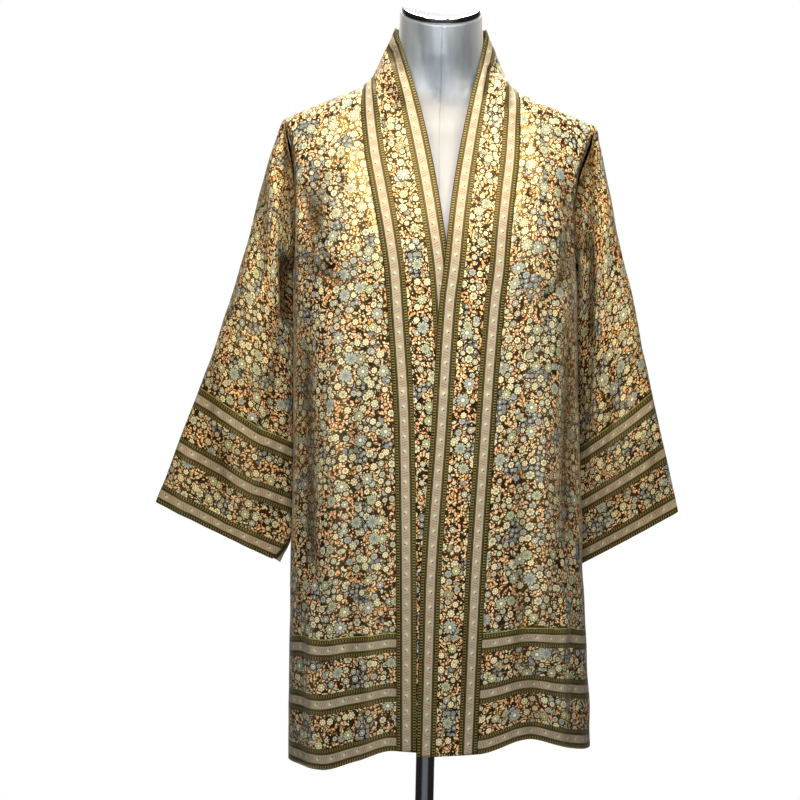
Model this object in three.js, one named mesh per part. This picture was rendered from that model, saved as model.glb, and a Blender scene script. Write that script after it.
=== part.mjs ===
// A kimono-style open jacket of printed silk, hung on a limbless dress form on a pole stand.
// Millimetres, +Z up. The origin is under the middle of the base plate. The jacket's front
// faces -Y, and its wearer's left is +X, so "left" and "right" below are the wearer's.

import * as THREE from "three";

// Jacket: driving sizes
const CLOTH = 1.2; // wall of every cloth piece
const SEAM_GAP = 0.3; // each piece stops this far short of its seam line
const SHOULDER_LEVEL = 1379; // height of the two shoulder points
const ARMPIT_LEVEL = 1180;
const HEM_LEVEL = 521;
const SHOULDER_HALF = 211; // middle to shoulder point
const NECK_HALF = 103; // middle to the neck point of the shoulder seam
const SHOULDER_FALL = 0.42; // drop of the shoulder seam for each millimetre outwards
const NECK_CROWN = 10.8; // how much the shoulder line still rises across the neck
const NECK_DROP = 13; // how far the back neckline lies below the shoulder seam's level
const ROUND_AT_NECK = 22; // height over which the shoulder rounds over, at the neck
const ROUND_AT_ARM = 60; // and at the shoulder point
const BODY_POWER = 2.3; // squareness of the body's level curves, 2 is an ellipse
const SLEEVE_POWER = 2.2;
const ARMHOLE_GAP = 1.8; // between a sleeve and the armhole's edge
const NECK_SEAM_LIFT = 1.2; // the bands stand this far above the back neckline
const NAPE_GAP = 1; // each band stops this far short of the middle of the nape
const OVERLAP_LIFT = 4.5; // the left front lies this far over the right one
const OVERLAP_FADE = 110; // width over which that lift dies away on the left front
const HEM_SWING = 2.4; // how fast the hem's own outline dies away upwards
const SLIT_LENGTH = 70; // open end of the right sleeve's underarm seam
const SLIT_OPENING = 0.5; // radians that its front edge stands back at the cuff
const SIDE_SLIT_LENGTH = 80;
const SIDE_SLIT_OPENING = 0.12;
const FACING_WIDTH = 8; // width of the strip turned under the slit's back edge
const FACING_INSET = 0.1; // share of a column's width between the facing and the slit's edge
const BAND_BOW = 2.5; // how far the band bows out between its two edges
const SLEEVE_HOLD = 0.12; // share of a sleeve's length over which it leaves the armhole's shape
const FOLD_GROWTH = 0.5; // share of a fold's height over which it grows to its full size
const NECK_LIFT_START = 0.95; // run at which a band's seam starts to rise to the neckline

// The body's level curves. level is the height at the side, middle the curve's middle,
// edge the half width to the armhole edge or side seam, reach the half width the curve would
// have if it went on to the side, front and back its depth on the middle line.
const BODY_LEVELS = [
  { level: 521, middle: 18.5, edge: 203.5, reach: 203.5, front: 136, back: 128 },
  { level: 770, middle: 10, edge: 197, reach: 197, front: 134, back: 122 },
  { level: 966, middle: 5, edge: 193, reach: 193, front: 132, back: 118 },
  { level: 1096, middle: 1, edge: 192, reach: 192, front: 131, back: 116 },
  { level: 1180, middle: -1, edge: 191, reach: 191, front: 129, back: 114.5 },
  { level: 1194, middle: -2, edge: 190, reach: 193.5, front: 127, back: 114 },
  { level: 1220, middle: -3, edge: 189, reach: 198, front: 121, back: 113 },
  { level: 1260, middle: -4, edge: 189, reach: 202, front: 106, back: 108 },
  { level: 1300, middle: -3, edge: 192, reach: 206, front: 88, back: 98 },
  { level: 1340, middle: 0, edge: 201, reach: 215, front: 64, back: 84 },
  { level: 1379, middle: 1, edge: 211, reach: 224, front: 60, back: 74 },
];

// Where the neck bands are sewn to the fronts: distance from the middle at each level.
const BAND_SEAMS = [
  { level: 521, right: -39.3, left: 64 },
  { level: 735, right: -44, left: 69 },
  { level: 966, right: -51.6, left: 78.5 },
  { level: 1122, right: -64, left: 87 },
  { level: 1172, right: -68.8, left: 92 },
  { level: 1214, right: -77.5, left: 95 },
  { level: 1257, right: -88.3, left: 100 },
  { level: 1304, right: -99.3, left: 105 },
  { level: 1357, right: -105, left: 106 },
  { level: 1379, right: -103, left: 103 },
];

// The bands' free edges. run is 0 at the hem, 1 at the neck point and 2 at the nape; below the
// neck point it follows the levels of BAND_SEAMS.
const RIGHT_FREE_EDGE = [
  { level: 521, x: 43, y: -134, z: 550 },
  { level: 735, x: 39.5, y: -131.5, z: 747 },
  { level: 966, x: 32.5, y: -129, z: 966 },
  { level: 1122, x: 20, y: -128.5, z: 1130 },
  { level: 1172, x: 14.3, y: -127.5, z: 1183 },
  { level: 1214, x: 5.5, y: -122, z: 1238 },
  { level: 1257, x: -4, y: -106, z: 1292 },
  { level: 1304, x: -17.5, y: -87, z: 1355 },
  { level: 1357, x: -34, y: -71, z: 1416 },
  { level: 1379, x: -49, y: -45, z: 1462 },
];
const LEFT_FREE_EDGE = [
  { level: 521, x: -13.7, y: -141, z: 547 },
  { level: 735, x: -13.7, y: -139, z: 747 },
  { level: 966, x: -4, y: -137, z: 966 },
  { level: 1122, x: 3, y: -136, z: 1130 },
  { level: 1172, x: 8.5, y: -134.5, z: 1181 },
  { level: 1214, x: 12.5, y: -128, z: 1230 },
  { level: 1257, x: 18, y: -110, z: 1280 },
  { level: 1304, x: 26.5, y: -89, z: 1336 },
  { level: 1357, x: 39.5, y: -71, z: 1404 },
  { level: 1379, x: 51, y: -44, z: 1452 },
];
const NAPE_FREE_EDGE = [
  { run: 1.3, x: 61.5, y: 2, z: 1506 },
  { run: 1.55, x: 52, y: 39, z: 1509 },
  { run: 1.8, x: 27, y: 60, z: 1506 },
  { run: 2, x: 0, y: 66, z: 1504 },
];

// How far the hem hangs above HEM_LEVEL, from the right side to the left.
const FRONT_HEM = [
  { x: -190, rise: 0 },
  { x: -139, rise: 0 },
  { x: -90, rise: 16 },
  { x: -44, rise: 32 },
  { x: 0, rise: 28 },
  { x: 64, rise: 31 },
  { x: 132, rise: 49 },
  { x: 188, rise: 32 },
  { x: 223, rise: 24 },
];
const BACK_HEM = [
  { x: -190, rise: 0 },
  { x: -60, rise: 9 },
  { x: 80, rise: 20 },
  { x: 223, rise: 24 },
];

// The sleeves hang as flattened tubes. At each station fold is the outer top fold and seam the
// underarm seam; x is measured outwards, and depth is half the tube's front-to-back size.
const RIGHT_SLEEVE = [
  { along: 0, foldX: 210, foldY: 0, foldZ: 1379, seamX: 192, seamY: 0, seamZ: 1180, depth: 40 },
  { along: 0.065, foldX: 222, foldY: 2, foldZ: 1345, seamX: 194.5, seamY: 4, seamZ: 1168, depth: 43 },
  { along: 0.189, foldX: 240, foldY: 6, foldZ: 1280, seamX: 195, seamY: 12, seamZ: 1137, depth: 47 },
  { along: 0.337, foldX: 258, foldY: 10, foldZ: 1201, seamX: 194, seamY: 20, seamZ: 1095, depth: 50 },
  { along: 0.597, foldX: 299, foldY: 12, foldZ: 1065, seamX: 192, seamY: 26, seamZ: 997, depth: 48 },
  { along: 0.861, foldX: 347, foldY: 10, foldZ: 929, seamX: 191.5, seamY: 24, seamZ: 853, depth: 30 },
  { along: 1, foldX: 372, foldY: 8, foldZ: 858, seamX: 204, seamY: 20, seamZ: 779, depth: 15 },
];
const LEFT_SLEEVE = [
  { along: 0, foldX: 212, foldY: 0, foldZ: 1379, seamX: 190, seamY: 0, seamZ: 1180, depth: 40 },
  { along: 0.065, foldX: 220, foldY: 1, foldZ: 1345, seamX: 194, seamY: 5, seamZ: 1168, depth: 43 },
  { along: 0.189, foldX: 233, foldY: 2, foldZ: 1283, seamX: 195.5, seamY: 16, seamZ: 1137, depth: 46 },
  { along: 0.337, foldX: 250, foldY: 2, foldZ: 1206, seamX: 196, seamY: 30, seamZ: 1095, depth: 46 },
  { along: 0.597, foldX: 283, foldY: 0, foldZ: 1070, seamX: 197, seamY: 46, seamZ: 1000, depth: 44 },
  { along: 0.861, foldX: 316, foldY: -4, foldZ: 932, seamX: 196, seamY: 56, seamZ: 857, depth: 27 },
  { along: 1, foldX: 333, foldY: -6, foldZ: 861, seamX: 197, seamY: 60, seamZ: 776, depth: 15 },
];

// The largest folds of the hanging cloth: x at the top, how far it leans outwards on the way
// down, the heights between which it shows, its half width and how far it stands out.
const FRONT_FOLDS = [
  { x: -172, lean: 6, top: 1130, bottom: 480, width: 15, out: -7 },
  { x: -135, lean: -8, top: 1210, bottom: 480, width: 24, out: 7 },
  { x: 150, lean: 12, top: 1180, bottom: 480, width: 24, out: 6 },
  { x: 182, lean: 8, top: 1230, bottom: 480, width: 14, out: -6 },
];
const BACK_FOLDS = [
  { x: -120, lean: -10, top: 1190, bottom: 480, width: 26, out: 9 },
  { x: -45, lean: -4, top: 1120, bottom: 480, width: 28, out: -7 },
  { x: 38, lean: 6, top: 1150, bottom: 480, width: 26, out: 8 },
  { x: 118, lean: 14, top: 1200, bottom: 480, width: 30, out: 7 },
];

// Levels at which the body's mesh has a row, and the mesh's other counts
const BODY_ROWS = [
  1379, 1377, 1371, 1361, 1345, 1322, 1295, 1262, 1229, 1204, 1189, 1180, 1120, 1040, 950, 860, 770, 690,
  610, 521,
];
const FRONT_COLUMNS = 8;
const SHOULDER_COLUMNS = 4;
const NECKLINE_COLUMNS = 10;
const SLEEVE_STATIONS = [0, 0.03, 0.08, 0.15, 0.25, 0.36, 0.48, 0.6, 0.74];
const SLIT_STEPS = 2;
const BAND_STRIPS = 2;
const SLEEVE_SEAM_TURN = 0.02; // radians that a sleeve's edges stop short of the underarm seam
const FORM_TURNS = 36;
const BASE_TURNS = 48;

// Dress form and stand: driving sizes
const CAP_SLANT = THREE.MathUtils.degToRad(27); // the neck cap faces up and forwards
const CAP_HALF = 53.5;
const CAP_THICKNESS = 9;
const CAP_EDGE = 2.5;
const NECK_TOP = 1531; // middle of the neck's slanted end
const NECK_LEAN = -6; // where that middle lies, in Y
const POLE_RADIUS = 12.5;
const POLE_FIT = 0.3; // clearance round the pole in its two sockets
const BORE_DEPTH = 90;
const BASE_RADIUS = 150;
const BASE_THICKNESS = 8;
const BASE_EDGE = 2;
const HUB_RADIUS = 22;
const HUB_HEIGHT = 32;
const SOCKET_FLOOR = 4;
// The form's sections, from the flat underside up. half is its half width, front and back its
// depth from the pole's axis, and slant the part of the cap's slant that the section has.
const FORM_SECTIONS = [
  { z: 760, half: 166, front: 104, back: 110, slant: 0 },
  { z: 775, half: 170, front: 107, back: 113, slant: 0 },
  { z: 850, half: 172, front: 108, back: 112, slant: 0 },
  { z: 950, half: 150, front: 97, back: 95, slant: 0 },
  { z: 1045, half: 128, front: 86, back: 74, slant: 0 },
  { z: 1130, half: 146, front: 106, back: 86, slant: 0 },
  { z: 1190, half: 156, front: 118, back: 99, slant: 0 },
  { z: 1235, half: 158, front: 112, back: 101, slant: 0 },
  { z: 1290, half: 166, front: 92, back: 92, slant: 0 },
  { z: 1335, half: 178, front: 72, back: 76, slant: 0 },
  { z: 1362, half: 184, front: 58, back: 64, slant: 0 },
  { z: 1378, half: 182, front: 54, back: 58, slant: 0 },
  { z: 1392, half: 158, front: 53, back: 54, slant: 0 },
  { z: 1405, half: 122, front: 54, back: 53, slant: 0 },
  { z: 1418, half: 92, front: 55, back: 53, slant: 0.05 },
  { z: 1434, half: 71, front: 56.5, back: 52, slant: 0.15 },
  { z: 1455, half: 61, front: 58.5, back: 50.5, slant: 0.35 },
  { z: 1480, half: 57.5, front: 60.5, back: 50, slant: 0.65 },
  { z: 1531, half: 56, front: 62, back: 50, slant: 1 },
];

/** Slope of one column of a table at its row i, none of it past the rows beside (monotone cubic). */
function rowSlope(table, key, name, i) {
  if (i === 0 || i === table.length - 1) {
    const a = table[Math.max(i - 1, 0)];
    const b = table[Math.min(i + 1, table.length - 1)];
    return (b[name] - a[name]) / (b[key] - a[key]);
  }
  const before = (table[i][name] - table[i - 1][name]) / (table[i][key] - table[i - 1][key]);
  const after = (table[i + 1][name] - table[i][name]) / (table[i + 1][key] - table[i][key]);
  if (before * after <= 0) return 0;
  return (2 * before * after) / (before + after);
}

/** A column's value where the key column is at, on a smooth curve through the rows. */
function read(table, key, name, at) {
  const last = table.length - 1;
  const place = THREE.MathUtils.clamp(at, table[0][key], table[last][key]);
  let i = 0;
  while (i < last - 1 && place > table[i + 1][key]) i += 1;
  const span = table[i + 1][key] - table[i][key];
  const t = (place - table[i][key]) / span;
  const startSlope = rowSlope(table, key, name, i) * span;
  const endSlope = rowSlope(table, key, name, i + 1) * span;
  const rest = 1 - t;
  return (
    table[i][name] * (1 + 2 * t) * rest * rest +
    startSlope * t * rest * rest +
    table[i + 1][name] * t * t * (3 - 2 * t) -
    endSlope * t * t * rest
  );
}

/** Cosine or sine bent to a superellipse of the given power. */
function bent(value, power) {
  return Math.sign(value) * Math.abs(value) ** (2 / power);
}

/** How far the shoulder line stands above the shoulder points, at x from the middle. */
function shoulderRise(x) {
  const away = Math.abs(x);
  if (away > NECK_HALF) return SHOULDER_FALL * (SHOULDER_HALF - away);
  return SHOULDER_FALL * (SHOULDER_HALF - NECK_HALF) + NECK_CROWN * (1 - (away / NECK_HALF) ** 4);
}

/** 0 on the shoulder line and 1 where the shoulder has rounded over into the front or back. */
function shoulderRound(x, z) {
  const reach = THREE.MathUtils.lerp(ROUND_AT_NECK, ROUND_AT_ARM, Math.min(Math.abs(x) / SHOULDER_HALF, 1));
  const below = SHOULDER_LEVEL + shoulderRise(x) - z;
  const left = 1 - THREE.MathUtils.clamp(below / reach, 0, 1);
  return Math.sqrt(1 - left * left);
}

/** How far the folds of a table stand out at x, z. */
function foldOut(folds, x, z) {
  let out = 0;
  for (const fold of folds) {
    const down = THREE.MathUtils.clamp((fold.top - z) / (fold.top - fold.bottom), 0, 1);
    const off = (x - fold.x - fold.lean * down) / fold.width;
    out += fold.out * Math.exp(-off * off) * THREE.MathUtils.smoothstep(down, 0, FOLD_GROWTH);
  }
  return out;
}

/** Height of the body's cloth at x on one level curve. */
function bodyHeight(isFront, x, level) {
  const up = Math.max((level - ARMPIT_LEVEL) / (SHOULDER_LEVEL - ARMPIT_LEVEL), 0);
  const down = Math.max((ARMPIT_LEVEL - level) / (ARMPIT_LEVEL - HEM_LEVEL), 0);
  const hem = read(isFront ? FRONT_HEM : BACK_HEM, "x", "rise", x);
  return level + shoulderRise(x) * up + hem * down ** HEM_SWING;
}

/** A point of the body's outer face. turn is 0 at the left side and pi at the right side. */
function bodyPoint(isFront, turn, level) {
  const middle = read(BODY_LEVELS, "level", "middle", level);
  const reach = read(BODY_LEVELS, "level", "reach", level);
  const deep = read(BODY_LEVELS, "level", isFront ? "front" : "back", level);
  const x = middle + reach * bent(Math.cos(turn), BODY_POWER);
  const z = bodyHeight(isFront, x, level);
  const side = bent(Math.sin(turn), BODY_POWER);
  const folds = foldOut(isFront ? FRONT_FOLDS : BACK_FOLDS, x, z) * side;
  const depth = SEAM_GAP + (deep * side + folds) * shoulderRound(x, z);
  return new THREE.Vector3(x, isFront ? -depth : depth, z);
}

/** The turn at which the level curve passes x. */
function turnAt(x, level) {
  const middle = read(BODY_LEVELS, "level", "middle", level);
  const reach = read(BODY_LEVELS, "level", "reach", level);
  return Math.acos(bent(THREE.MathUtils.clamp((x - middle) / reach, -1, 1), 4 / BODY_POWER));
}

/** The turn of the armhole edge or side seam, on the left for side 1 and the right for side -1. */
function edgeTurn(side, level) {
  const edge = read(BODY_LEVELS, "level", "edge", level);
  const reach = read(BODY_LEVELS, "level", "reach", level);
  const turn = Math.acos(Math.min(edge / reach, 1) ** (BODY_POWER / 2));
  return side > 0 ? turn : Math.PI - turn;
}

/** Level of the band's seam along the back neckline, at x. */
function necklineLevel(x) {
  const across = Math.min(Math.abs(x) / NECK_HALF, 1);
  return SHOULDER_LEVEL - NECK_DROP * Math.sqrt(1 - across * across);
}

/** Seam line of a band on its front, moved by away from the middle. */
function frontSeamPoint(side, level, away) {
  const x = read(BAND_SEAMS, "level", side > 0 ? "left" : "right", level) + side * away;
  const point = bodyPoint(true, turnAt(x, level), level);
  if (side > 0) point.y -= OVERLAP_LIFT;
  return point;
}

/** Seam line of a band on the back neckline, moved up off the back panel. */
function backSeamPoint(x, up) {
  const level = necklineLevel(x);
  const point = bodyPoint(false, turnAt(x, level), level);
  point.z += up;
  return point;
}

/** Outward normals of a grid of points. */
function gridNormals(grid, flip) {
  const rows = grid.length;
  const columns = grid[0].length;
  return grid.map((row, j) =>
    row.map((_, i) => {
      const across = grid[j][Math.min(i + 1, columns - 1)].clone().sub(grid[j][Math.max(i - 1, 0)]);
      const down = grid[Math.min(j + 1, rows - 1)][i].clone().sub(grid[Math.max(j - 1, 0)][i]);
      const normal = across.cross(down).normalize();
      return flip ? normal.negate() : normal;
    })
  );
}

/** A cloth wall: the grid is its outer face, and the inner face lies CLOTH behind it. */
function clothWall(grid, flip = false) {
  const rows = grid.length;
  const columns = grid[0].length;
  const normals = gridNormals(grid, flip);
  const corners = [];
  for (const depth of [0, -CLOTH]) {
    grid.forEach((row, j) =>
      row.forEach((point, i) => corners.push(point.clone().addScaledVector(normals[j][i], depth)))
    );
  }
  const inner = rows * columns;
  const faces = [];
  const quad = (a, b, c, d) => {
    faces.push(...(flip ? [a, c, b, a, d, c] : [a, b, c, a, c, d]));
  };
  for (let j = 0; j < rows - 1; j += 1) {
    for (let i = 0; i < columns - 1; i += 1) {
      const a = j * columns + i;
      const below = a + columns;
      quad(a, a + 1, below + 1, below);
      quad(inner + a, inner + below, inner + below + 1, inner + a + 1);
    }
  }
  const rim = rimOf(rows, columns);
  rim.forEach((a, k) => {
    const b = rim[(k + 1) % rim.length];
    quad(a, inner + a, inner + b, b);
  });
  return solidFrom(corners, faces);
}

/** Indices round the edge of a grid, in the order that closes a wall. */
function rimOf(rows, columns) {
  const rim = [];
  for (let i = 0; i < columns - 1; i += 1) rim.push(i);
  for (let j = 0; j < rows - 1; j += 1) rim.push(j * columns + columns - 1);
  for (let i = columns - 1; i > 0; i -= 1) rim.push((rows - 1) * columns + i);
  for (let j = rows - 1; j > 0; j -= 1) rim.push(j * columns);
  return rim;
}

/** A geometry of triangles over shared corners. */
function solidFrom(corners, faces) {
  const geometry = new THREE.BufferGeometry();
  const positions = corners.flatMap((point) => point.toArray());
  geometry.setAttribute("position", new THREE.Float32BufferAttribute(positions, 3));
  geometry.setIndex(faces);
  geometry.computeVertexNormals();
  return geometry;
}

/** A solid through closed loops of equal count, with a flat fan at each end. */
function loftedSolid(loops) {
  const count = loops[0].length;
  const corners = loops.flat();
  const faces = [];
  for (let k = 0; k < loops.length - 1; k += 1) {
    for (let i = 0; i < count; i += 1) {
      const next = (i + 1) % count;
      const a = k * count;
      faces.push(a + i, a + next, a + count + next, a + i, a + count + next, a + count + i);
    }
  }
  const ends = [loops[0], loops[loops.length - 1]];
  ends.forEach((loop, end) => {
    const middle = loop.reduce((sum, point) => sum.add(point), new THREE.Vector3()).divideScalar(count);
    const start = end === 0 ? 0 : corners.length - 1 - count;
    corners.push(middle);
    for (let i = 0; i < count; i += 1) {
      const next = (i + 1) % count;
      const pair = end === 0 ? [start + next, start + i] : [start + i, start + next];
      faces.push(corners.length - 1, ...pair);
    }
  });
  return solidFrom(corners, faces);
}

/** One front, from its armhole and side seam to the seam of its band. */
function frontPanel(side) {
  const grid = BODY_ROWS.map((level) => {
    const outer = frontSideTurn(side, level);
    const seam = frontSeamPoint(side, level, SEAM_GAP);
    const inner = turnAt(seam.x, level);
    const row = [];
    for (let i = 0; i <= FRONT_COLUMNS; i += 1) {
      const turn = THREE.MathUtils.lerp(outer, inner, i / FRONT_COLUMNS);
      const point = bodyPoint(true, turn, level);
      if (side > 0) point.y -= overlapLift(point.x - seam.x);
      row.push(point);
    }
    return row;
  });
  return clothWall(grid, side > 0);
}

/** How far the left front is lifted off the right one, at a distance from its band's seam. */
function overlapLift(away) {
  return OVERLAP_LIFT * (1 - THREE.MathUtils.smoothstep(away, 0, OVERLAP_FADE));
}

/** The front's outer edge, which stands back at the foot of the right side, above the hem. */
function frontSideTurn(side, level) {
  const turn = edgeTurn(side, level);
  if (side > 0) return turn;
  const open = THREE.MathUtils.clamp((HEM_LEVEL + SIDE_SLIT_LENGTH - level) / SIDE_SLIT_LENGTH, 0, 1);
  return turn - SIDE_SLIT_OPENING * open;
}

/** The back, in one piece from armhole to armhole, cut out for the neck at the top. */
function backPanel() {
  const top = SHOULDER_LEVEL;
  const start = edgeTurn(1, top);
  const span = edgeTurn(-1, top) - start;
  const neckStart = (turnAt(NECK_HALF, top) - start) / span;
  const neckEnd = (turnAt(-NECK_HALF, top) - start) / span;
  const parts = [];
  for (let i = 0; i < SHOULDER_COLUMNS; i += 1) parts.push((neckStart * i) / SHOULDER_COLUMNS);
  for (let i = 0; i <= NECKLINE_COLUMNS; i += 1) {
    parts.push(THREE.MathUtils.lerp(neckStart, neckEnd, i / NECKLINE_COLUMNS));
  }
  for (let i = 1; i <= SHOULDER_COLUMNS; i += 1) {
    parts.push(THREE.MathUtils.lerp(neckEnd, 1, i / SHOULDER_COLUMNS));
  }
  const grid = BODY_ROWS.map((rowLevel) => parts.map((part) => backPoint(part, rowLevel)));
  return clothWall(grid, true);
}

/** A point of the back panel, part of the way from its left edge to its right one. */
function backPoint(part, rowLevel) {
  const topTurn = THREE.MathUtils.lerp(edgeTurn(1, SHOULDER_LEVEL), edgeTurn(-1, SHOULDER_LEVEL), part);
  const topX = bodyPoint(false, topTurn, SHOULDER_LEVEL).x;
  const cut = (necklineLevel(topX) - HEM_LEVEL) / (SHOULDER_LEVEL - HEM_LEVEL);
  const level = HEM_LEVEL + (rowLevel - HEM_LEVEL) * cut;
  const turn = THREE.MathUtils.lerp(edgeTurn(1, level), edgeTurn(-1, level), part);
  return bodyPoint(false, turn, level);
}

/** A point of a sleeve's outer face. around is 0 on the top fold, positive over the front and
 * pi or -pi at the underarm seam. */
function sleevePoint(side, along, around) {
  const table = side > 0 ? LEFT_SLEEVE : RIGHT_SLEEVE;
  const at = (name) => read(table, "along", name, along);
  const toFold = (1 + bent(Math.cos(around), SLEEVE_POWER)) / 2;
  const point = new THREE.Vector3(
    side * THREE.MathUtils.lerp(at("seamX"), at("foldX"), toFold),
    THREE.MathUtils.lerp(at("seamY"), at("foldY"), toFold) - at("depth") * bent(Math.sin(around), SLEEVE_POWER),
    THREE.MathUtils.lerp(at("seamZ"), at("foldZ"), toFold)
  );
  const held = 1 - THREE.MathUtils.smoothstep(along, 0, SLEEVE_HOLD);
  return point.lerp(armholePoint(side, around), held);
}

/** The sleeve's seat on the armhole edge of the body. */
function armholePoint(side, around) {
  const level = ARMPIT_LEVEL + ((SHOULDER_LEVEL - ARMPIT_LEVEL) * (1 + Math.cos(around))) / 2;
  const point = bodyPoint(around > 0, edgeTurn(side, level), level);
  point.x += side * ARMHOLE_GAP;
  return point;
}

/** Length of a sleeve along its top fold, from its table. */
function foldLength(table) {
  let length = 0;
  for (let i = 1; i < table.length; i += 1) {
    length += Math.hypot(table[i].foldX - table[i - 1].foldX, table[i].foldZ - table[i - 1].foldZ);
  }
  return length;
}

const RIGHT_SLEEVE_LENGTH = foldLength(RIGHT_SLEEVE);

/** How far the right sleeve's front edge stands back along the open end of its seam. */
function slitTurn(side, along) {
  if (side > 0) return 0;
  const length = RIGHT_SLEEVE_LENGTH * (1 - along);
  return SLIT_OPENING * THREE.MathUtils.clamp(1 - length / SLIT_LENGTH, 0, 1);
}

/** Turns at which a sleeve has a column: where the body's rows meet the armhole. */
function sleeveTurns() {
  const height = SHOULDER_LEVEL - ARMPIT_LEVEL;
  const front = BODY_ROWS.filter((level) => level >= ARMPIT_LEVEL).map((level) =>
    Math.acos((2 * (level - ARMPIT_LEVEL)) / height - 1)
  );
  const back = front.slice(1).map((turn) => -turn);
  return [...back.reverse(), ...front];
}

/** A sleeve's outer face, from the back edge of its underarm seam round to the front edge. */
function sleeveGrid(side) {
  const slitTop = 1 - SLIT_LENGTH / RIGHT_SLEEVE_LENGTH;
  const stations = [...SLEEVE_STATIONS];
  for (let i = 0; i <= SLIT_STEPS; i += 1) stations.push(THREE.MathUtils.lerp(slitTop, 1, i / SLIT_STEPS));
  return stations.map((along) => {
    const limit = Math.PI - SLEEVE_SEAM_TURN;
    const end = limit - slitTurn(side, along);
    return sleeveTurns().map((turn) => sleevePoint(side, along, THREE.MathUtils.clamp(turn, -limit, end)));
  });
}

/** One sleeve, cut in one piece and joined under the arm. */
function sleeve(side) {
  return clothWall(sleeveGrid(side), side < 0);
}

/** A point of a band's free edge. run is 0 at the hem, 1 at the neck point and 2 at the nape. */
function freeEdgePoint(side, run) {
  const front = side > 0 ? LEFT_FREE_EDGE : RIGHT_FREE_EDGE;
  const rows = front.map((row) => ({ ...row, run: (row.level - HEM_LEVEL) / (SHOULDER_LEVEL - HEM_LEVEL) }));
  for (const row of NAPE_FREE_EDGE) rows.push({ ...row, x: side * row.x });
  const at = (name) => read(rows, "run", name, run);
  return new THREE.Vector3(at("x"), at("y"), at("z"));
}

/** A point of a band's seam edge, for the same run. */
function seamEdgePoint(side, run) {
  if (run <= 1) {
    const point = frontSeamPoint(side, THREE.MathUtils.lerp(HEM_LEVEL, SHOULDER_LEVEL, run), -SEAM_GAP);
    point.z += NECK_SEAM_LIFT * THREE.MathUtils.smoothstep(run, NECK_LIFT_START, 1);
    return point;
  }
  return backSeamPoint(side * NECK_HALF * Math.cos(((run - 1) * Math.PI) / 2), NECK_SEAM_LIFT);
}

/** One half of the long band: up the front edge, round the neck and to the middle of the nape. */
function neckBand(side) {
  const runs = BODY_ROWS.map((level) => (level - HEM_LEVEL) / (SHOULDER_LEVEL - HEM_LEVEL)).reverse();
  const napeSteps = NECKLINE_COLUMNS / 2;
  for (let i = 1; i <= napeSteps; i += 1) runs.push(1 + i / napeSteps);
  const grid = runs.map((run) => {
    const seam = seamEdgePoint(side, run);
    const free = freeEdgePoint(side, run);
    if (run === 2) {
      seam.x = side * NAPE_GAP;
      free.x = side * NAPE_GAP;
    }
    const row = [];
    for (let i = 0; i <= BAND_STRIPS; i += 1) row.push(seam.clone().lerp(free, i / BAND_STRIPS));
    return row;
  });
  bowOut(grid, side < 0);
  return clothWall(grid, side < 0);
}

/** Bows a strip's middle outwards, clear of what lies under its edges. */
function bowOut(grid, flip) {
  const normals = gridNormals(grid, flip);
  grid.forEach((row, j) =>
    row.forEach((point, i) => {
      const bow = BAND_BOW * Math.sin((Math.PI * i) / BAND_STRIPS);
      point.addScaledVector(normals[j][i], bow);
    })
  );
}

/** The plain strip turned under the back edge of the right sleeve's slit, made from its points. */
function slitFacing() {
  const grid = sleeveGrid(-1);
  const normals = gridNormals(grid, true);
  const under = CLOTH + 2 * SEAM_GAP;
  const firstRow = grid.length - 1 - SLIT_STEPS;
  const strip = grid.slice(firstRow).map((row, k) => {
    const edge = row[0].clone().addScaledVector(normals[firstRow + k][0], -under);
    const beside = row[1].clone().addScaledVector(normals[firstRow + k][1], -under);
    const width = FACING_WIDTH / edge.distanceTo(beside);
    return [edge.clone().lerp(beside, FACING_INSET), edge.clone().lerp(beside, FACING_INSET + width)];
  });
  return clothWall(strip, true);
}

/** A loop of the form at one height: two half ellipses, slanted by part of the cap's slant. */
function formLoop(section) {
  const loop = [];
  for (let i = 0; i < FORM_TURNS; i += 1) {
    const turn = (2 * Math.PI * i) / FORM_TURNS;
    const depth = Math.sin(turn) < 0 ? section.front : section.back;
    const y = depth * Math.sin(turn);
    const z = section.z + section.slant * Math.tan(CAP_SLANT) * (y - NECK_LEAN);
    loop.push(new THREE.Vector3(section.half * Math.cos(turn), y, z));
  }
  return loop;
}

/** The form: smooth and limbless, with a bored socket for the pole in its flat underside. */
function formTorso() {
  const bottom = FORM_SECTIONS[0].z;
  const bore = POLE_RADIUS + POLE_FIT;
  const round = { half: bore, front: bore, back: bore, slant: 0 };
  const loops = [formLoop({ ...round, z: bottom + BORE_DEPTH }), formLoop({ ...round, z: bottom })];
  for (const section of FORM_SECTIONS) loops.push(formLoop(section));
  return loftedSolid(loops);
}

/** The polished cap that closes the neck. */
function neckCap() {
  const profile = [
    new THREE.Vector2(0, 0),
    new THREE.Vector2(CAP_HALF, 0),
    new THREE.Vector2(CAP_HALF, CAP_THICKNESS - CAP_EDGE),
    new THREE.Vector2(CAP_HALF - CAP_EDGE, CAP_THICKNESS),
    new THREE.Vector2(0, CAP_THICKNESS),
  ];
  return new THREE.LatheGeometry(profile, FORM_TURNS);
}

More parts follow.
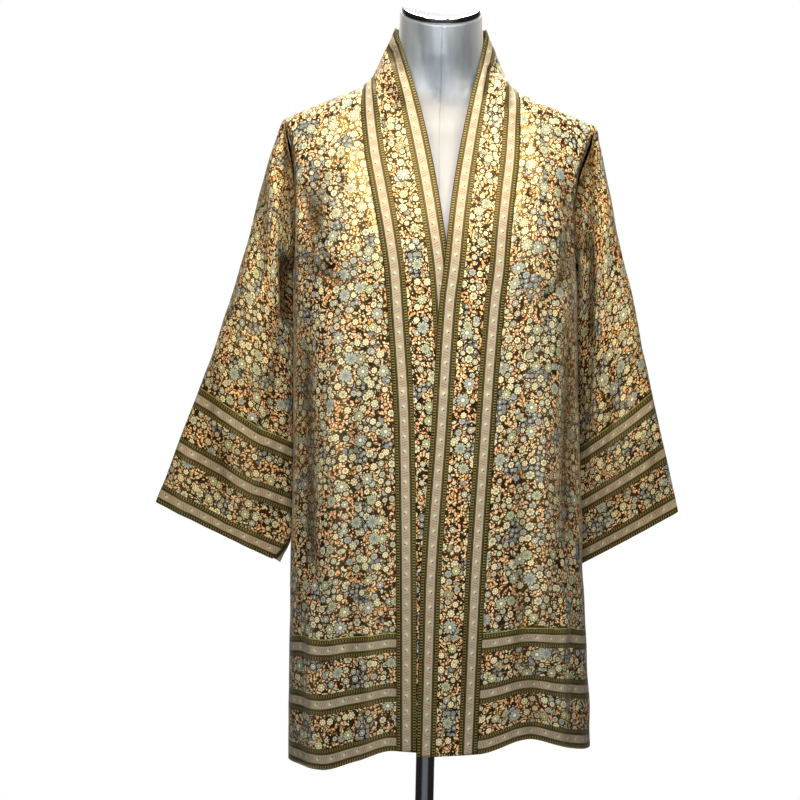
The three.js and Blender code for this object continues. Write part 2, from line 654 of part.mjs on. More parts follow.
/** The round base plate with its hub, open at the top for the pole. */
function standBase() {
  const socket = POLE_RADIUS + POLE_FIT;
  const profile = [
    new THREE.Vector2(0, 0),
    new THREE.Vector2(BASE_RADIUS, 0),
    new THREE.Vector2(BASE_RADIUS, BASE_THICKNESS - BASE_EDGE),
    new THREE.Vector2(BASE_RADIUS - BASE_EDGE, BASE_THICKNESS),
    new THREE.Vector2(HUB_RADIUS, BASE_THICKNESS),
    new THREE.Vector2(HUB_RADIUS, HUB_HEIGHT - BASE_EDGE),
    new THREE.Vector2(HUB_RADIUS - BASE_EDGE, HUB_HEIGHT),
    new THREE.Vector2(socket, HUB_HEIGHT),
    new THREE.Vector2(socket, SOCKET_FLOOR),
    new THREE.Vector2(0, SOCKET_FLOOR),
  ];
  return new THREE.LatheGeometry(profile, BASE_TURNS);
}

const silk = () => new THREE.MeshStandardMaterial({ color: 0xb59a63, roughness: 0.45 });
const facingCloth = () => new THREE.MeshStandardMaterial({ color: 0x9a8a6a, roughness: 0.5 });
const formCover = () => new THREE.MeshStandardMaterial({ color: 0xaeb6bf, roughness: 0.4, metalness: 0.3 });
const chrome = () => new THREE.MeshStandardMaterial({ color: 0xd8dadd, roughness: 0.12, metalness: 1 });

const group = new THREE.Group();

/** Adds one named piece to the group. */
function add(name, geometry, material) {
  const mesh = new THREE.Mesh(geometry, material);
  mesh.name = name;
  group.add(mesh);
  return mesh;
}

add("back_panel", backPanel(), silk());
add("right_front_panel", frontPanel(-1), silk());
add("left_front_panel", frontPanel(1), silk());
add("right_sleeve", sleeve(-1), silk());
add("left_sleeve", sleeve(1), silk());
add("right_neck_band", neckBand(-1), silk());
add("left_neck_band", neckBand(1), silk());
add("right_cuff_slit_facing", slitFacing(), facingCloth());
add("form_torso", formTorso(), formCover());

const cap = add("form_neck_cap", neckCap(), chrome());
cap.scale.z = 1 / Math.cos(CAP_SLANT);
cap.rotation.x = Math.PI / 2 + CAP_SLANT;
cap.position.set(0, NECK_LEAN - SEAM_GAP * Math.sin(CAP_SLANT), NECK_TOP + SEAM_GAP * Math.cos(CAP_SLANT));

const poleBottom = SOCKET_FLOOR + POLE_FIT;
const poleTop = FORM_SECTIONS[0].z + BORE_DEPTH - POLE_FIT;
const poleShape = new THREE.CylinderGeometry(POLE_RADIUS, POLE_RADIUS, poleTop - poleBottom, FORM_TURNS);
const pole = add("stand_pole", poleShape, chrome());
pole.rotation.x = Math.PI / 2;
pole.position.z = (poleTop + poleBottom) / 2;

const base = add("stand_base", standBase(), chrome());
base.rotation.x = Math.PI / 2;

export default group;
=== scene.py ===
"""A kimono-style open jacket of printed silk on a limbless dress form on a pole stand.

The CAD model is the fixed frame. Every cloth piece is a thin shell worked out with numpy on
the form of its CAD solid, with its creases laid in one by one. Lengths in the tables are in
millimetres and meshes are in metres. Left and right are the wearer's.
"""

import logging
import math
from dataclasses import dataclass
from enum import Enum
from typing import Any, Optional, Sequence, Union

import bpy
import numpy as np
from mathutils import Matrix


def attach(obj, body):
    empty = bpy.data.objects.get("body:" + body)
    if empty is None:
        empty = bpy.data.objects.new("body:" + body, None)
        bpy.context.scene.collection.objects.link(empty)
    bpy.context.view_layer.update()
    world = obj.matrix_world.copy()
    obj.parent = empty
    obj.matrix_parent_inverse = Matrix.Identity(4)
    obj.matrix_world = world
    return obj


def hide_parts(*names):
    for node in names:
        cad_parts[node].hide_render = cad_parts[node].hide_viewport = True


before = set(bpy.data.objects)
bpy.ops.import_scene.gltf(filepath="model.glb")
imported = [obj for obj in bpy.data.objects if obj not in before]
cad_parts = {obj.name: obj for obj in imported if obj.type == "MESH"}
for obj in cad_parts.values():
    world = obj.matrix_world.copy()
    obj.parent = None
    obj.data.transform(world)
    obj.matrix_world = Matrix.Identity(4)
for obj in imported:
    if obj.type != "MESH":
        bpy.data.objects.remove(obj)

LOG = logging.getLogger("kimono_jacket")
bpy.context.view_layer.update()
MM = 0.001
AXIS = 0.01  # the radius, in millimetres, at which a turned shape starts
BORDER_DEPTH = 164.9  # how far the striped border reaches in from hem and cuffs, in millimetres
WHITE = (1.0, 1.0, 1.0, 1.0)
ORIGIN = (0.0, 0.0, 0.0)
PER_METRE = (1000.0, 1000.0, 1000.0)
Array = np.ndarray
Pair = tuple[float, float]
Triple = tuple[float, float, float]
Colour = tuple[float, float, float, float]
Socket = bpy.types.NodeSocket
Value = Union[Socket, float, tuple]


class Side(Enum):
    """The wearer's side that a piece belongs to; the value is its direction along X."""

    LEFT = 1
    RIGHT = -1

    @property
    def word(self) -> str:
        """The side's name as it stands in piece names."""
        return self.name.lower()

    def of(self, left: Any, right: Any) -> Any:
        """Whichever of the two belongs to this side."""
        return left if self is Side.LEFT else right


class Face(Enum):
    """The front or the back of the jacket; the value is its direction along Y."""

    FRONT = -1
    BACK = 1


# ---------------------------------------------------------------- curves and creases


def smoothstep(at: Array, low: float, high: float) -> Array:
    """A soft step: 0 up to low, 1 from high, and t squared times (3 - 2t) between them.

    Args:
        at: Where it is read.
        low: End of the zero part.
        high: Start of the one part.

    Returns:
        The step at every place.
    """
    t = np.clip((np.asarray(at, dtype=float) - low) / (high - low), 0.0, 1.0)
    return t * t * (3.0 - 2.0 * t)


def blend(a: Array, b: Array, share: Array) -> Array:
    """Straight mix of a and b: a where share is 0 and b where it is 1."""
    return a + (b - a) * share


def bent(value: Array, power: float) -> Array:
    """A cosine or sine bent to a superellipse of the given power, sign kept."""
    return np.sign(value) * np.abs(value) ** (2.0 / power)


class Rows:
    """A short table with named columns, read on a smooth curve along its first column.

    Between two rows the curve is a cubic whose end slopes are the harmonic mean of the
    straight slopes on either side, so that it never passes the rows beside it.
    """

    def __init__(self, names: str, rows: Sequence[tuple[float, ...]]) -> None:
        """Keeps the rows as columns.

        Args:
            names: The column names, apart by spaces. The first is the one read along.
            rows: The rows, in rising order of the first column.
        """
        self.names = names.split()
        self.columns = dict(zip(self.names, np.array(rows, dtype=float).T))

    def at(self, name: str, where: Array) -> Array:
        """A column's value.

        Args:
            name: The column.
            where: Values of the first column.

        Returns:
            The column's value at each place, held at the first and last rows past them.
        """
        stops = self.columns[self.names[0]]
        values = self.columns[name]
        steps = np.diff(stops)
        straight = np.diff(values) / steps
        pair = straight[:-1] * straight[1:]
        total = np.where(pair > 0, straight[:-1] + straight[1:], 1.0)
        slopes = np.concatenate([straight[:1], np.where(pair > 0, 2 * pair / total, 0), straight[-1:]])
        place = np.clip(np.asarray(where, dtype=float), stops[0], stops[-1])
        i = np.clip(np.searchsorted(stops, place, side="right") - 1, 0, len(steps) - 1)
        t = (place - stops[i]) / steps[i]
        rest = 1.0 - t
        ends = values[i] * (1 + 2 * t) * rest**2 + values[i + 1] * t**2 * (3 - 2 * t)
        turns = (slopes[i] * t * rest**2 - slopes[i + 1] * t**2 * rest) * steps[i]
        return ends + turns


@dataclass(frozen=True)
class Crease:
    """One ridge or trough of the hanging cloth, from (x, z) to (to_x, to_z).

    The cross profile is out times exp(-(distance / width) squared). The line swings sideways
    by bow at its middle, and dies away over the share soft of its length at both ends. One
    flank is steeper: steep 0.5 halves the width on the +x side, -0.5 on the -x side.
    """

    x: float
    z: float
    to_x: float
    to_z: float
    width: float
    out: float
    bow: float = 0.0
    steep: float = 0.0
    soft: float = 0.3

    def rise(self, x: Array, z: Array) -> Array:
        """How far the crease moves the cloth out, in millimetres.

        Args:
            x: Places across.
            z: Heights.

        Returns:
            The rise at each place.
        """
        run_x, run_z = self.to_x - self.x, self.to_z - self.z
        length = math.hypot(run_x, run_z)
        along = ((x - self.x) * run_x + (z - self.z) * run_z) / length**2
        inside = np.clip(along, 0.0, 1.0)
        off = (-(x - self.x) * run_z + (z - self.z) * run_x) / length
        off = off - self.bow * 4.0 * inside * (1.0 - inside)
        width = self.width * (1.0 - self.steep * np.tanh(3.0 * off / self.width))
        fade = smoothstep(along, 0.0, self.soft) * smoothstep(1.0 - along, 0.0, self.soft)
        return self.out * np.exp(-((off / width) ** 2)) * fade


def creases(*rows: tuple[float, ...]) -> tuple[Crease, ...]:
    """Creases from rows of x, z, to_x, to_z, width, out, bow, steep and soft."""
    return tuple(Crease(*row) for row in rows)


def rise_of(laid: Sequence[Crease], x: Array, z: Array) -> Array:
    """The summed rise of several creases, in millimetres."""
    total = np.zeros_like(x)
    for crease in laid:
        total = total + crease.rise(x, z)
    return total


@dataclass(frozen=True)
class Ripple:
    """Fine unevenness of soft cloth: seeded sine waves, longer down than across.

    A wave is across and down long in millimetres, within the two ranges, and the sum of
    them all is divided by calm.
    """

    waves: int = 12
    across: Pair = (22, 60)
    down: Pair = (70, 240)
    strength: Pair = (0.3, 1.0)
    shift: Pair = (0, 6.3)
    calm: float = 4.0

    def rise(self, x: Array, z: Array, seed: int, height: float) -> Array:
        """The rise at each place, in millimetres.

        Args:
            x: Places across.
            z: Places down.
            seed: Chooses the waves.
            height: Largest rise of one wave, times calm.

        Returns:
            The rise.
        """
        rng = np.random.default_rng(seed)
        total = np.zeros_like(x)
        for _ in range(self.waves):
            across = 2 * math.pi / rng.uniform(*self.across) * rng.choice([-1, 1])
            down = 2 * math.pi / rng.uniform(*self.down)
            strength, shift = rng.uniform(*self.strength), rng.uniform(*self.shift)
            total = total + strength * np.sin(across * x + down * z + shift)
        return height * total / self.calm


RIPPLE = Ripple()


# ---------------------------------------------------------------- grids and meshes


def run_lengths(points: Array, axis: int) -> Array:
    """Length along the cloth from the grid's first line, summed step by step along one axis."""
    steps = np.linalg.norm(np.diff(points, axis=axis), axis=-1)
    start = np.zeros_like(np.take(steps, [0], axis=axis))
    return np.cumsum(np.concatenate([start, steps], axis=axis), axis=axis)


@dataclass
class Grid:
    """Cloth as a grid: rows run up and columns run to the right as seen from outside."""

    points: Array
    cloth: Optional[Array] = None
    # shade is painted shade of the folds and painted highlight of the ridges, read by the materials
    shade: Optional[Array] = None
    full_fold: float = 7.0
    lightest_ridge: float = -0.6

    def normals(self) -> Array:
        """Outward unit normals: the across step crossed with the up step."""
        across = np.gradient(self.points, axis=1)
        up = np.gradient(self.points, axis=0)
        normal = np.cross(across, up)
        return normal / np.maximum(np.linalg.norm(normal, axis=-1, keepdims=True), 1e-9)

    def moved(self, rise: Array, folds: Optional[Array] = None) -> "Grid":
        """The grid moved out along its normals.

        Args:
            rise: How far, in millimetres.
            folds: The part of it that is folds; all of it if not given. The painted shade of a
                place is its depth in a fold, 1 at 7 mm and -0.6 on a ridge of 4.2 mm: the colour is
                darkened by it in folds and lightened by it as a painted highlight on ridges.

        Returns:
            The moved grid with its painted shade.
        """
        shade = np.clip(-(rise if folds is None else folds) / self.full_fold, self.lightest_ridge, 1.0)
        return Grid(self.points + self.normals() * rise[..., None], self.cloth, shade)

    def area(self) -> float:
        """Area of the cloth in square metres: half the crossed diagonals of every cell."""
        p = self.points * MM
        cells = np.cross(p[1:, 1:] - p[:-1, :-1], p[1:, :-1] - p[:-1, 1:])
        return float(np.linalg.norm(cells, axis=-1).sum() / 2.0)

    def mesh(self, name: str, closed: bool = False, poles: bool = False) -> bpy.types.Mesh:
        """The grid as a mesh in metres, with its cloth coordinates as a UV map.

        Args:
            name: Name of the mesh.
            closed: True if the last column joins the first.
            poles: True to close the first and last rows to their middle points.

        Returns:
            The mesh, smooth shaded.
        """
        rows, columns = self.points.shape[:2]
        j, i = np.mgrid[0 : rows - 1, 0 : columns - (0 if closed else 1)]
        beside = (i + 1) % columns
        corners = [j * columns + i, j * columns + beside, (j + 1) * columns + beside, (j + 1) * columns + i]
        faces = np.stack(corners, axis=-1).reshape(-1, 4)
        spots = self.points.reshape(-1, 3)
        fans = np.zeros((0, 3), dtype=int)
        if poles:
            spots = np.concatenate([spots, self.points[[0, -1]].mean(axis=1)])
            first = np.arange(columns)
            after = (first + 1) % columns
            last = (rows - 1) * columns
            under = np.stack([0 * first + rows * columns, after, first], axis=-1)
            over = np.stack([last + first, last + after, 0 * first + rows * columns + 1], axis=-1)
            fans = np.concatenate([under, over])
        made = bpy.data.meshes.new(name)
        made.from_pydata((spots * MM).tolist(), [], faces.tolist() + fans.tolist())
        if self.cloth is not None:
            layer = made.uv_layers.new(name="cloth")
            layer.data.foreach_set("uv", (self.cloth.reshape(-1, 2)[faces.ravel()] * MM).ravel())
        if self.shade is not None:
            # the fold_shade attribute carries the painted shade of folds and the painted highlight of ridges
            depth = made.attributes.new("fold_shade", "FLOAT", "POINT")
            depth.data.foreach_set("value", self.shade.ravel().astype(np.float32))
        made.shade_smooth()
        made.update()
        return made


def turned(profile: Array, turns: int) -> Grid:
    """A turned shape: a profile of (radius, height) rows carried round Z in so many steps."""
    turn = np.linspace(0, 2 * math.pi, turns, endpoint=False)[None, :]
    radius, height = np.array(profile).T[..., None]
    return Grid(np.stack([radius * np.cos(turn), radius * np.sin(turn), height + 0 * turn], axis=-1))


def rounded(profile: Sequence[Pair], radius: float, steps: int = 5) -> Array:
    """Rounds a profile's corners: each is a quadratic curve between points radius away.

    Args:
        profile: Corners as (radius, height).
        radius: How far from a corner its curve starts, and at most half of each edge.
        steps: Points on each curve.

    Returns:
        The rounded profile.
    """
    spots = np.array(profile)
    t = np.linspace(0, 1, steps)[:, None]
    made = [spots[:1]]
    for before, corner, after in zip(spots[:-2], spots[1:-1], spots[2:]):
        back, ahead = before - corner, after - corner
        back_run, ahead_run = np.linalg.norm(back), np.linalg.norm(ahead)
        reach = min(radius, back_run / 2.01, ahead_run / 2.01)
        first, last = corner + back / back_run * reach, corner + ahead / ahead_run * reach
        made.append(first * (1 - t) ** 2 + corner * 2 * t * (1 - t) + last * t**2)
    return np.concatenate([*made, spots[-1:]])


def place(name: str, mesh: bpy.types.Mesh, materials: Sequence[bpy.types.Material]) -> bpy.types.Object:
    """Puts a mesh in the scene at the origin.

    Args:
        name: Name of the piece.
        mesh: Its mesh, already in place.
        materials: Its materials, in slot order.

    Returns:
        The new object.
    """
    piece = bpy.data.objects.new(name, mesh)
    bpy.context.scene.collection.objects.link(piece)
    for material in materials:
        mesh.materials.append(material)
    return piece


def give_wall(piece: bpy.types.Object, thickness: float, inside: int) -> None:
    """Gives a cloth surface its thickness, inwards, with closed edges.

    Args:
        piece: The surface.
        thickness: Wall in millimetres.
        inside: Slot offset of the material on the inner face.
    """
    wall = piece.modifiers.new("cloth wall", "SOLIDIFY")
    wall.thickness = thickness * MM
    wall.offset = -1.0
    wall.use_rim = True
    wall.material_offset = inside
    wall.material_offset_rim = 0


# ---------------------------------------------------------------- the jacket's shape


@dataclass(frozen=True)
class JacketShape:
    """The jacket's cut as it hangs, the same as the CAD model's."""

    shoulder_level: float = 1379
    armpit_level: float = 1180
    hem_level: float = 521
    shoulder_half: float = 211
    neck_half: float = 103
    shoulder_fall: float = 0.42
    neck_crown: float = 10.8
    neck_drop: float = 13
    round_at_neck: float = 22
    round_at_arm: float = 60
    body_power: float = 2.3
    sleeve_power: float = 2.2
    neck_seam_lift: float = 1.2
    overlap_lift: float = 4.5
    overlap_fade: float = 110
    hem_swing: float = 2.4
    slit_length: float = 70
    slit_opening: float = 0.5
    side_slit_length: float = 80
    side_slit_opening: float = 0.12
    sleeve_hold: float = 0.12
    levels: Rows = Rows(
        "level middle edge reach front back",
        [
            (521, 18.5, 203.5, 203.5, 136, 128), (770, 10, 197, 197, 134, 122),
            (966, 5, 193, 193, 132, 118), (1096, 1, 192, 192, 131, 116), (1180, -1, 191, 191, 129, 114.5),
            (1194, -2, 190, 193.5, 127, 114), (1220, -3, 189, 198, 121, 113),
            (1260, -4, 189, 202, 106, 108), (1300, -3, 192, 206, 88, 98), (1340, 0, 201, 215, 64, 84),
            (1379, 1, 211, 224, 60, 74),
        ],
    )
    band_seams: Rows = Rows(
        "level right left",
        [
            (521, -39.3, 64), (735, -44, 69), (966, -51.6, 78.5), (1122, -64, 87), (1172, -68.8, 92),
            (1214, -77.5, 95), (1257, -88.3, 100), (1304, -99.3, 105), (1357, -105, 106),
            (1379, -103, 103),
        ],
    )
    front_hem: Rows = Rows(
        "x rise",
        [
            (-190, 0), (-139, 0), (-90, 16), (-44, 32), (0, 28), (64, 31), (132, 49), (188, 32),
            (223, 24),
        ],
    )
    back_hem: Rows = Rows("x rise", [(-190, 0), (-60, 9), (80, 20), (223, 24)])
    front_folds: Rows = Rows(
        "x lean top width out",
        [
            (-172, 6, 1130, 15, -7), (-135, -8, 1210, 24, 7), (150, 12, 1180, 24, 6),
            (182, 8, 1230, 14, -6),
        ],
    )
    back_folds: Rows = Rows(
        "x lean top width out",
        [
            (-120, -10, 1190, 26, 9), (-45, -4, 1120, 28, -7), (38, 6, 1150, 26, 8),
            (118, 14, 1200, 30, 7),
        ],
    )
    fold_foot: float = 480

    def shoulder_rise(self, x: Array) -> Array:
        """Height of the shoulder line over the shoulder points: straight falls with a crown."""
        away = np.abs(x)
        straight = self.shoulder_fall * (self.shoulder_half - away)
        flat = self.shoulder_fall * (self.shoulder_half - self.neck_half)
        crown = flat + self.neck_crown * (1 - (away / self.neck_half) ** 4)
        return np.where(away > self.neck_half, straight, crown)

    def shoulder_round(self, x: Array, z: Array) -> Array:
        """0 on the shoulder line, 1 where it has rounded over: a quarter circle below it."""
        share = np.minimum(np.abs(x) / self.shoulder_half, 1)
        reach = blend(self.round_at_neck, self.round_at_arm, share)
        left = 1 - np.clip((self.shoulder_level + self.shoulder_rise(x) - z) / reach, 0, 1)
        return np.sqrt(1 - left**2)

    def fold_out(self, folds: Rows, x: Array, z: Array) -> Array:
        """The large folds: bell profiles that grow from their top and lean on the way down."""
        out = np.zeros_like(x)
        table = folds.columns
        for k in range(len(table["x"])):
            top = table["top"][k]
            down = np.clip((top - z) / (top - self.fold_foot), 0, 1)
            off = (x - table["x"][k] - table["lean"][k] * down) / table["width"][k]
            out = out + table["out"][k] * np.exp(-(off**2)) * smoothstep(down, 0, 0.5)
        return out

    def body_height(self, face: Face, x: Array, level: Array) -> Array:
        """Height of the cloth: its level, plus the shoulder's or the hem's own outline."""
        up = np.maximum((level - self.armpit_level) / (self.shoulder_level - self.armpit_level), 0)
        down = np.maximum((self.armpit_level - level) / (self.armpit_level - self.hem_level), 0)
        hem = (self.front_hem if face is Face.FRONT else self.back_hem).at("rise", x)
        return level + self.shoulder_rise(x) * up + hem * down**self.hem_swing

    def body_point(self, face: Face, turn: Array, level: Array) -> Array:
        """A point of the body's outer face.

        Args:
            face: Front or back.
            turn: 0 at the left side, pi at the right side; x follows its bent cosine and the
                depth its bent sine.
            level: Level curve, by its height at the side.

        Returns:
            Points, last axis x, y, z.
        """
        reach = self.levels.at("reach", level)
        deep = self.levels.at("front" if face is Face.FRONT else "back", level)
        x = self.levels.at("middle", level) + reach * bent(np.cos(turn), self.body_power)
        z = self.body_height(face, x, level)
        side = bent(np.sin(turn), self.body_power)
        folds = self.fold_out(self.front_folds if face is Face.FRONT else self.back_folds, x, z) * side
        depth = (deep * side + folds) * self.shoulder_round(x, z)
        return np.stack([x, face.value * depth, z], axis=-1)

    def turn_at(self, x: Array, level: Array) -> Array:
        """The turn at which a level curve passes x."""
        share = (x - self.levels.at("middle", level)) / self.levels.at("reach", level)
        return np.arccos(bent(np.clip(share, -1, 1), 4 / self.body_power))

    def edge_turn(self, side: Side, level: Array) -> Array:
        """The turn of the armhole edge or the side seam."""
        share = np.minimum(self.levels.at("edge", level) / self.levels.at("reach", level), 1)
        turn = np.arccos(share ** (self.body_power / 2))
        return turn if side is Side.LEFT else math.pi - turn

    def neckline_level(self, x: Array) -> Array:
        """Level of the band's seam on the back: half an ellipse that dips at the middle."""
        across = np.minimum(np.abs(x) / self.neck_half, 1)
        return self.shoulder_level - self.neck_drop * np.sqrt(1 - across**2)

    def front_seam(self, side: Side, level: Array) -> Array:
        """The seam between a front and its band."""
        x = self.band_seams.at(side.word, level)
        point = self.body_point(Face.FRONT, self.turn_at(x, level), level)
        if side is Side.LEFT:
            point[..., 1] -= self.overlap_lift
        return point

    def back_seam(self, x: Array) -> Array:
        """The seam between the back neckline and the band."""
        level = self.neckline_level(x)
        point = self.body_point(Face.BACK, self.turn_at(x, level), level)
        point[..., 2] += self.neck_seam_lift
        return point

    def armhole(self, side: Side, around: Array) -> Array:
        """The armhole edge: up the back and down the front as around goes from -pi to pi."""
        height = self.shoulder_level - self.armpit_level
        level = self.armpit_level + height * (1 + np.cos(around)) / 2
        turn = self.edge_turn(side, level)
        front = self.body_point(Face.FRONT, turn, level)
        back = self.body_point(Face.BACK, turn, level)
        return np.where((around > 0)[..., None], front, back)


SHAPE = JacketShape()


# ---------------------------------------------------------------- cloth pieces


@dataclass
class ClothPiece:
    """One sewn piece: its grid, the node it stands for and the size it was cut to."""

    name: str
    node: str
    grid: Grid
    flat: Pair
    cut_area: Optional[float] = None
    held: str = "hung"
    rests_on: tuple[str, ...] = ("form_cover",)
    wall: float = 0.8

    def build(self, outside: bpy.types.Material, inside: bpy.types.Material) -> bpy.types.Object:
        """Args:
            outside: Material of the cloth's right side.
            inside: Material of its reverse.

        Returns:
            The finished object.
        """
        piece = place(self.name, self.grid.mesh(self.name), [outside, inside])
        give_wall(piece, self.wall, 1)
        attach(piece, "root")
        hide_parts(self.node)
        hanging = self.grid.area()
        LOG.info("%s: %.4f m2 hanging, cut %s, area %s", self.name, hanging, self.flat, self.cut_area)
        return piece


def edge_dip(away: Array, depth: float, width: float) -> Array:
    """The dip of a sewn edge: depth times a bell of the distance to the edge."""
    return -depth * np.exp(-((away / width) ** 2))


@dataclass
class JacketBody:
    """The two fronts and the back."""

    rows: int = 280
    front_columns: int = 64
    back_columns: int = 130
    seam_dip: float = 0.9
    seam_width: float = 3.0
    border_shown: Rows = Rows(
        "x share",
        [
            (-190, 0.98), (-155, 1.03), (-115, 1.0), (-85, 0.955), (-52, 0.91), (64, 0.93), (130, 0.86),
            (190, 0.95),
        ],
    )
    arm_dip: float = 2.6
    arm_width: float = 8.0
    # arm_shade: depth in millimetres of painted shade along the armhole seam; it darkens the colour and does
    # not move the cloth
    arm_shade: float = 7.0
    seam_hold: float = 8.0
    edge_hold: float = 16.0
    front_top_hold: float = 30.0
    back_top_hold: float = 34.0
    seam_foot: Pair = (640, 700)
    front_creased: float = 1.3
    front_ripple: float = 1.0
    back_ripple: float = 1.2
    left_cut_at: float = 700.0
    back_cut_at: float = 1400.0
    row_ease: float = 1.25
    front_seeds: tuple[int, int] = (12, 11)
    back_seed: int = 13
    arm_rise: Pair = (-40, 10)
    arm_top: Pair = (16, 50)
    right_creases: tuple[Crease, ...] = creases(
        (-150, 1330, -160, 1120, 13, -4, -8), (-120, 1250, -128, 950, 12, 3, 6),
        (-172, 1165, -150, 700, 12, -5, -7), (-138, 1120, -118, 620, 15, 4.5, 8),
        (-105, 1080, -96, 560, 11, -3.4, -5), (-82, 900, -74, 470, 10, 3, 3),
        (-158, 800, -150, 470, 10, 4, 3), (-168, 1178, -110, 1130, 9, -3.2, 5),
        (-172, 1190, -118, 1190, 9, 2.6, 4), (-190, 1300, -168, 1210, 9, -3.5, 5),
    )
    left_creases: tuple[Crease, ...] = creases(
        (165, 1330, 172, 1130, 12, -4, 7), (128, 1280, 134, 980, 13, 3, -6),
        (178, 1170, 172, 700, 12, -4.5, 5), (146, 1080, 150, 600, 14, 4, -7),
        (112, 1000, 116, 540, 11, -3.2, 4), (176, 900, 178, 470, 10, 3.6, -3),
        (176, 1185, 124, 1120, 9, -3, 5), (140, 760, 128, 470, 10, -3, 3),
    )
    back_creases: tuple[Crease, ...] = creases(
        (-150, 1320, -132, 1050, 15, -4, 6), (-96, 1240, -88, 700, 16, -4.4, -6),
        (-60, 1180, -66, 520, 15, 4.2, 5), (-10, 1300, -4, 760, 13, -3.2, 4),
        (14, 1010, 18, 470, 14, 3.8, -4), (78, 1260, 80, 560, 16, -4.6, 7),
        (148, 1310, 138, 1040, 14, -4, -6), (156, 1090, 166, 480, 14, 4.4, 5),
        (-160, 1020, -172, 480, 14, 4, -5), (-178, 1195, -112, 1140, 10, -3.4, 4),
        (176, 1195, 118, 1142, 10, -3.4, -4),
    )

    def levels(self) -> Array:
        """Levels of the rows, closer together where the shoulder rounds over."""
        share = np.linspace(0, 1, self.rows)
        eased = 1 - (1 - share) ** self.row_ease
        return SHAPE.hem_level + (SHAPE.shoulder_level - SHAPE.hem_level) * eased

    def side_turn(self, side: Side, level: Array) -> Array:
        """A front's outer edge, which stands back at the foot of the right side."""
        turn = SHAPE.edge_turn(side, level)
        if side is Side.LEFT:
            return turn
        foot = SHAPE.hem_level + SHAPE.side_slit_length
        return turn - SHAPE.side_slit_opening * np.clip((foot - level) / SHAPE.side_slit_length, 0, 1)

    def front(self, side: Side) -> Grid:
        """One front, from its side seam and armhole to its band's seam.

        Columns are spread evenly in the level curves' turn. The left front is lifted off the
        right one near its band, and creases die away at the seams. The border shows less deep
        where the hem curls in, by the share in border_shown.

        Args:
            side: Left or right.

        Returns:
            The grid, with cloth coordinates: across from the band's seam, up from the hem.
        """
        level = self.levels()[:, None]
        outer = self.side_turn(side, level)
        seam_x = SHAPE.band_seams.at(side.word, level)
        inner = SHAPE.turn_at(seam_x, level)
        share = np.linspace(0, 1, self.front_columns)[None, :]
        turn = blend(*side.of((inner, outer), (outer, inner)), share)
        points = SHAPE.body_point(Face.FRONT, turn, level + 0 * turn)
        if side is Side.LEFT:
            near_band = 1 - smoothstep(points[..., 0] - seam_x, 0, SHAPE.overlap_fade)
            points[..., 1] -= SHAPE.overlap_lift * near_band
        across = run_lengths(points, 1)
        from_seam, from_side = side.of((across, across[:, -1:] - across), (across[:, -1:] - across, across))
        up = run_lengths(points, 0)
        from_top = up[-1:] - up
        x, z = points[..., 0], points[..., 2]
        shown = self.border_shown.at("share", x[:1] + 0 * x)
        grain = up + (1 / shown - 1) * np.minimum(up, BORDER_DEPTH * shown)
        cloth = np.stack([from_seam + side.of(self.left_cut_at, 0), grain], axis=-1)
        folds = rise_of(side.of(self.left_creases, self.right_creases), x, z)
        rise = self.front_creased * folds + RIPPLE.rise(x, z, side.of(*self.front_seeds), self.front_ripple)
        above = smoothstep(z, *(SHAPE.armpit_level + step for step in self.arm_rise))
        arm_faded = above * smoothstep(from_top, 0, self.arm_top[1])
        hold_low, hold_high = (smoothstep(from_side, 0, hold) for hold in (self.seam_hold, self.edge_hold))
        rise = rise * blend(hold_low, hold_high, above) * smoothstep(from_seam, 0, self.edge_hold)
        rise = rise * smoothstep(from_top, 0, self.front_top_hold)
        rise = rise + edge_dip(from_seam, self.seam_dip, self.seam_width)
        rise = rise + edge_dip(from_side, self.seam_dip, self.seam_width) * smoothstep(z, *self.seam_foot)
        rise = rise + edge_dip(from_side, self.arm_dip, self.arm_width) * arm_faded
        # painted shade along the armhole seam, added to the fold shade only
        shaded = edge_dip(from_side, self.arm_shade, self.arm_width) * above
        shaded = shaded * smoothstep(from_top, *self.arm_top)
        return Grid(points, cloth).moved(rise, rise + shaded)

    def back(self) -> Grid:
        """The back, in one piece from armhole to armhole, cut out for the neck at the top.

        Each column keeps its share of the width from the top edge to the hem, and its rows
        are spread between the neckline or shoulder and the hem.

        Returns:
            The grid, with cloth coordinates: across from the left edge, up from the hem.
        """
        top = SHAPE.shoulder_level
        share = np.linspace(0, 1, self.back_columns)[None, :]
        top_turn = blend(SHAPE.edge_turn(Side.LEFT, top), SHAPE.edge_turn(Side.RIGHT, top), share)
        top_x = SHAPE.body_point(Face.BACK, top_turn, top + 0 * top_turn)[..., 0]
        cut = (SHAPE.neckline_level(top_x) - SHAPE.hem_level) / (top - SHAPE.hem_level)
        level = SHAPE.hem_level + (self.levels()[:, None] - SHAPE.hem_level) * cut
        turn = blend(SHAPE.edge_turn(Side.LEFT, level), SHAPE.edge_turn(Side.RIGHT, level), share)
        points = SHAPE.body_point(Face.BACK, turn, level)
        across, up = run_lengths(points, 1), run_lengths(points, 0)
        cloth = np.stack([across + self.back_cut_at, up], axis=-1)
        x, z = points[..., 0], points[..., 2]
        rise = rise_of(self.back_creases, x, z) + RIPPLE.rise(x, z, self.back_seed, self.back_ripple)
        from_edge = np.minimum(across, across[:, -1:] - across)
        from_top = up[-1:] - up
        rise = rise * smoothstep(from_edge, 0, self.edge_hold) * smoothstep(from_top, 0, self.back_top_hold)
        rise = rise + edge_dip(from_edge, self.seam_dip, self.seam_width) * smoothstep(z, *self.seam_foot)
        rise = rise + edge_dip(from_top, self.seam_dip, self.seam_width)
        return Grid(points, cloth).moved(rise)

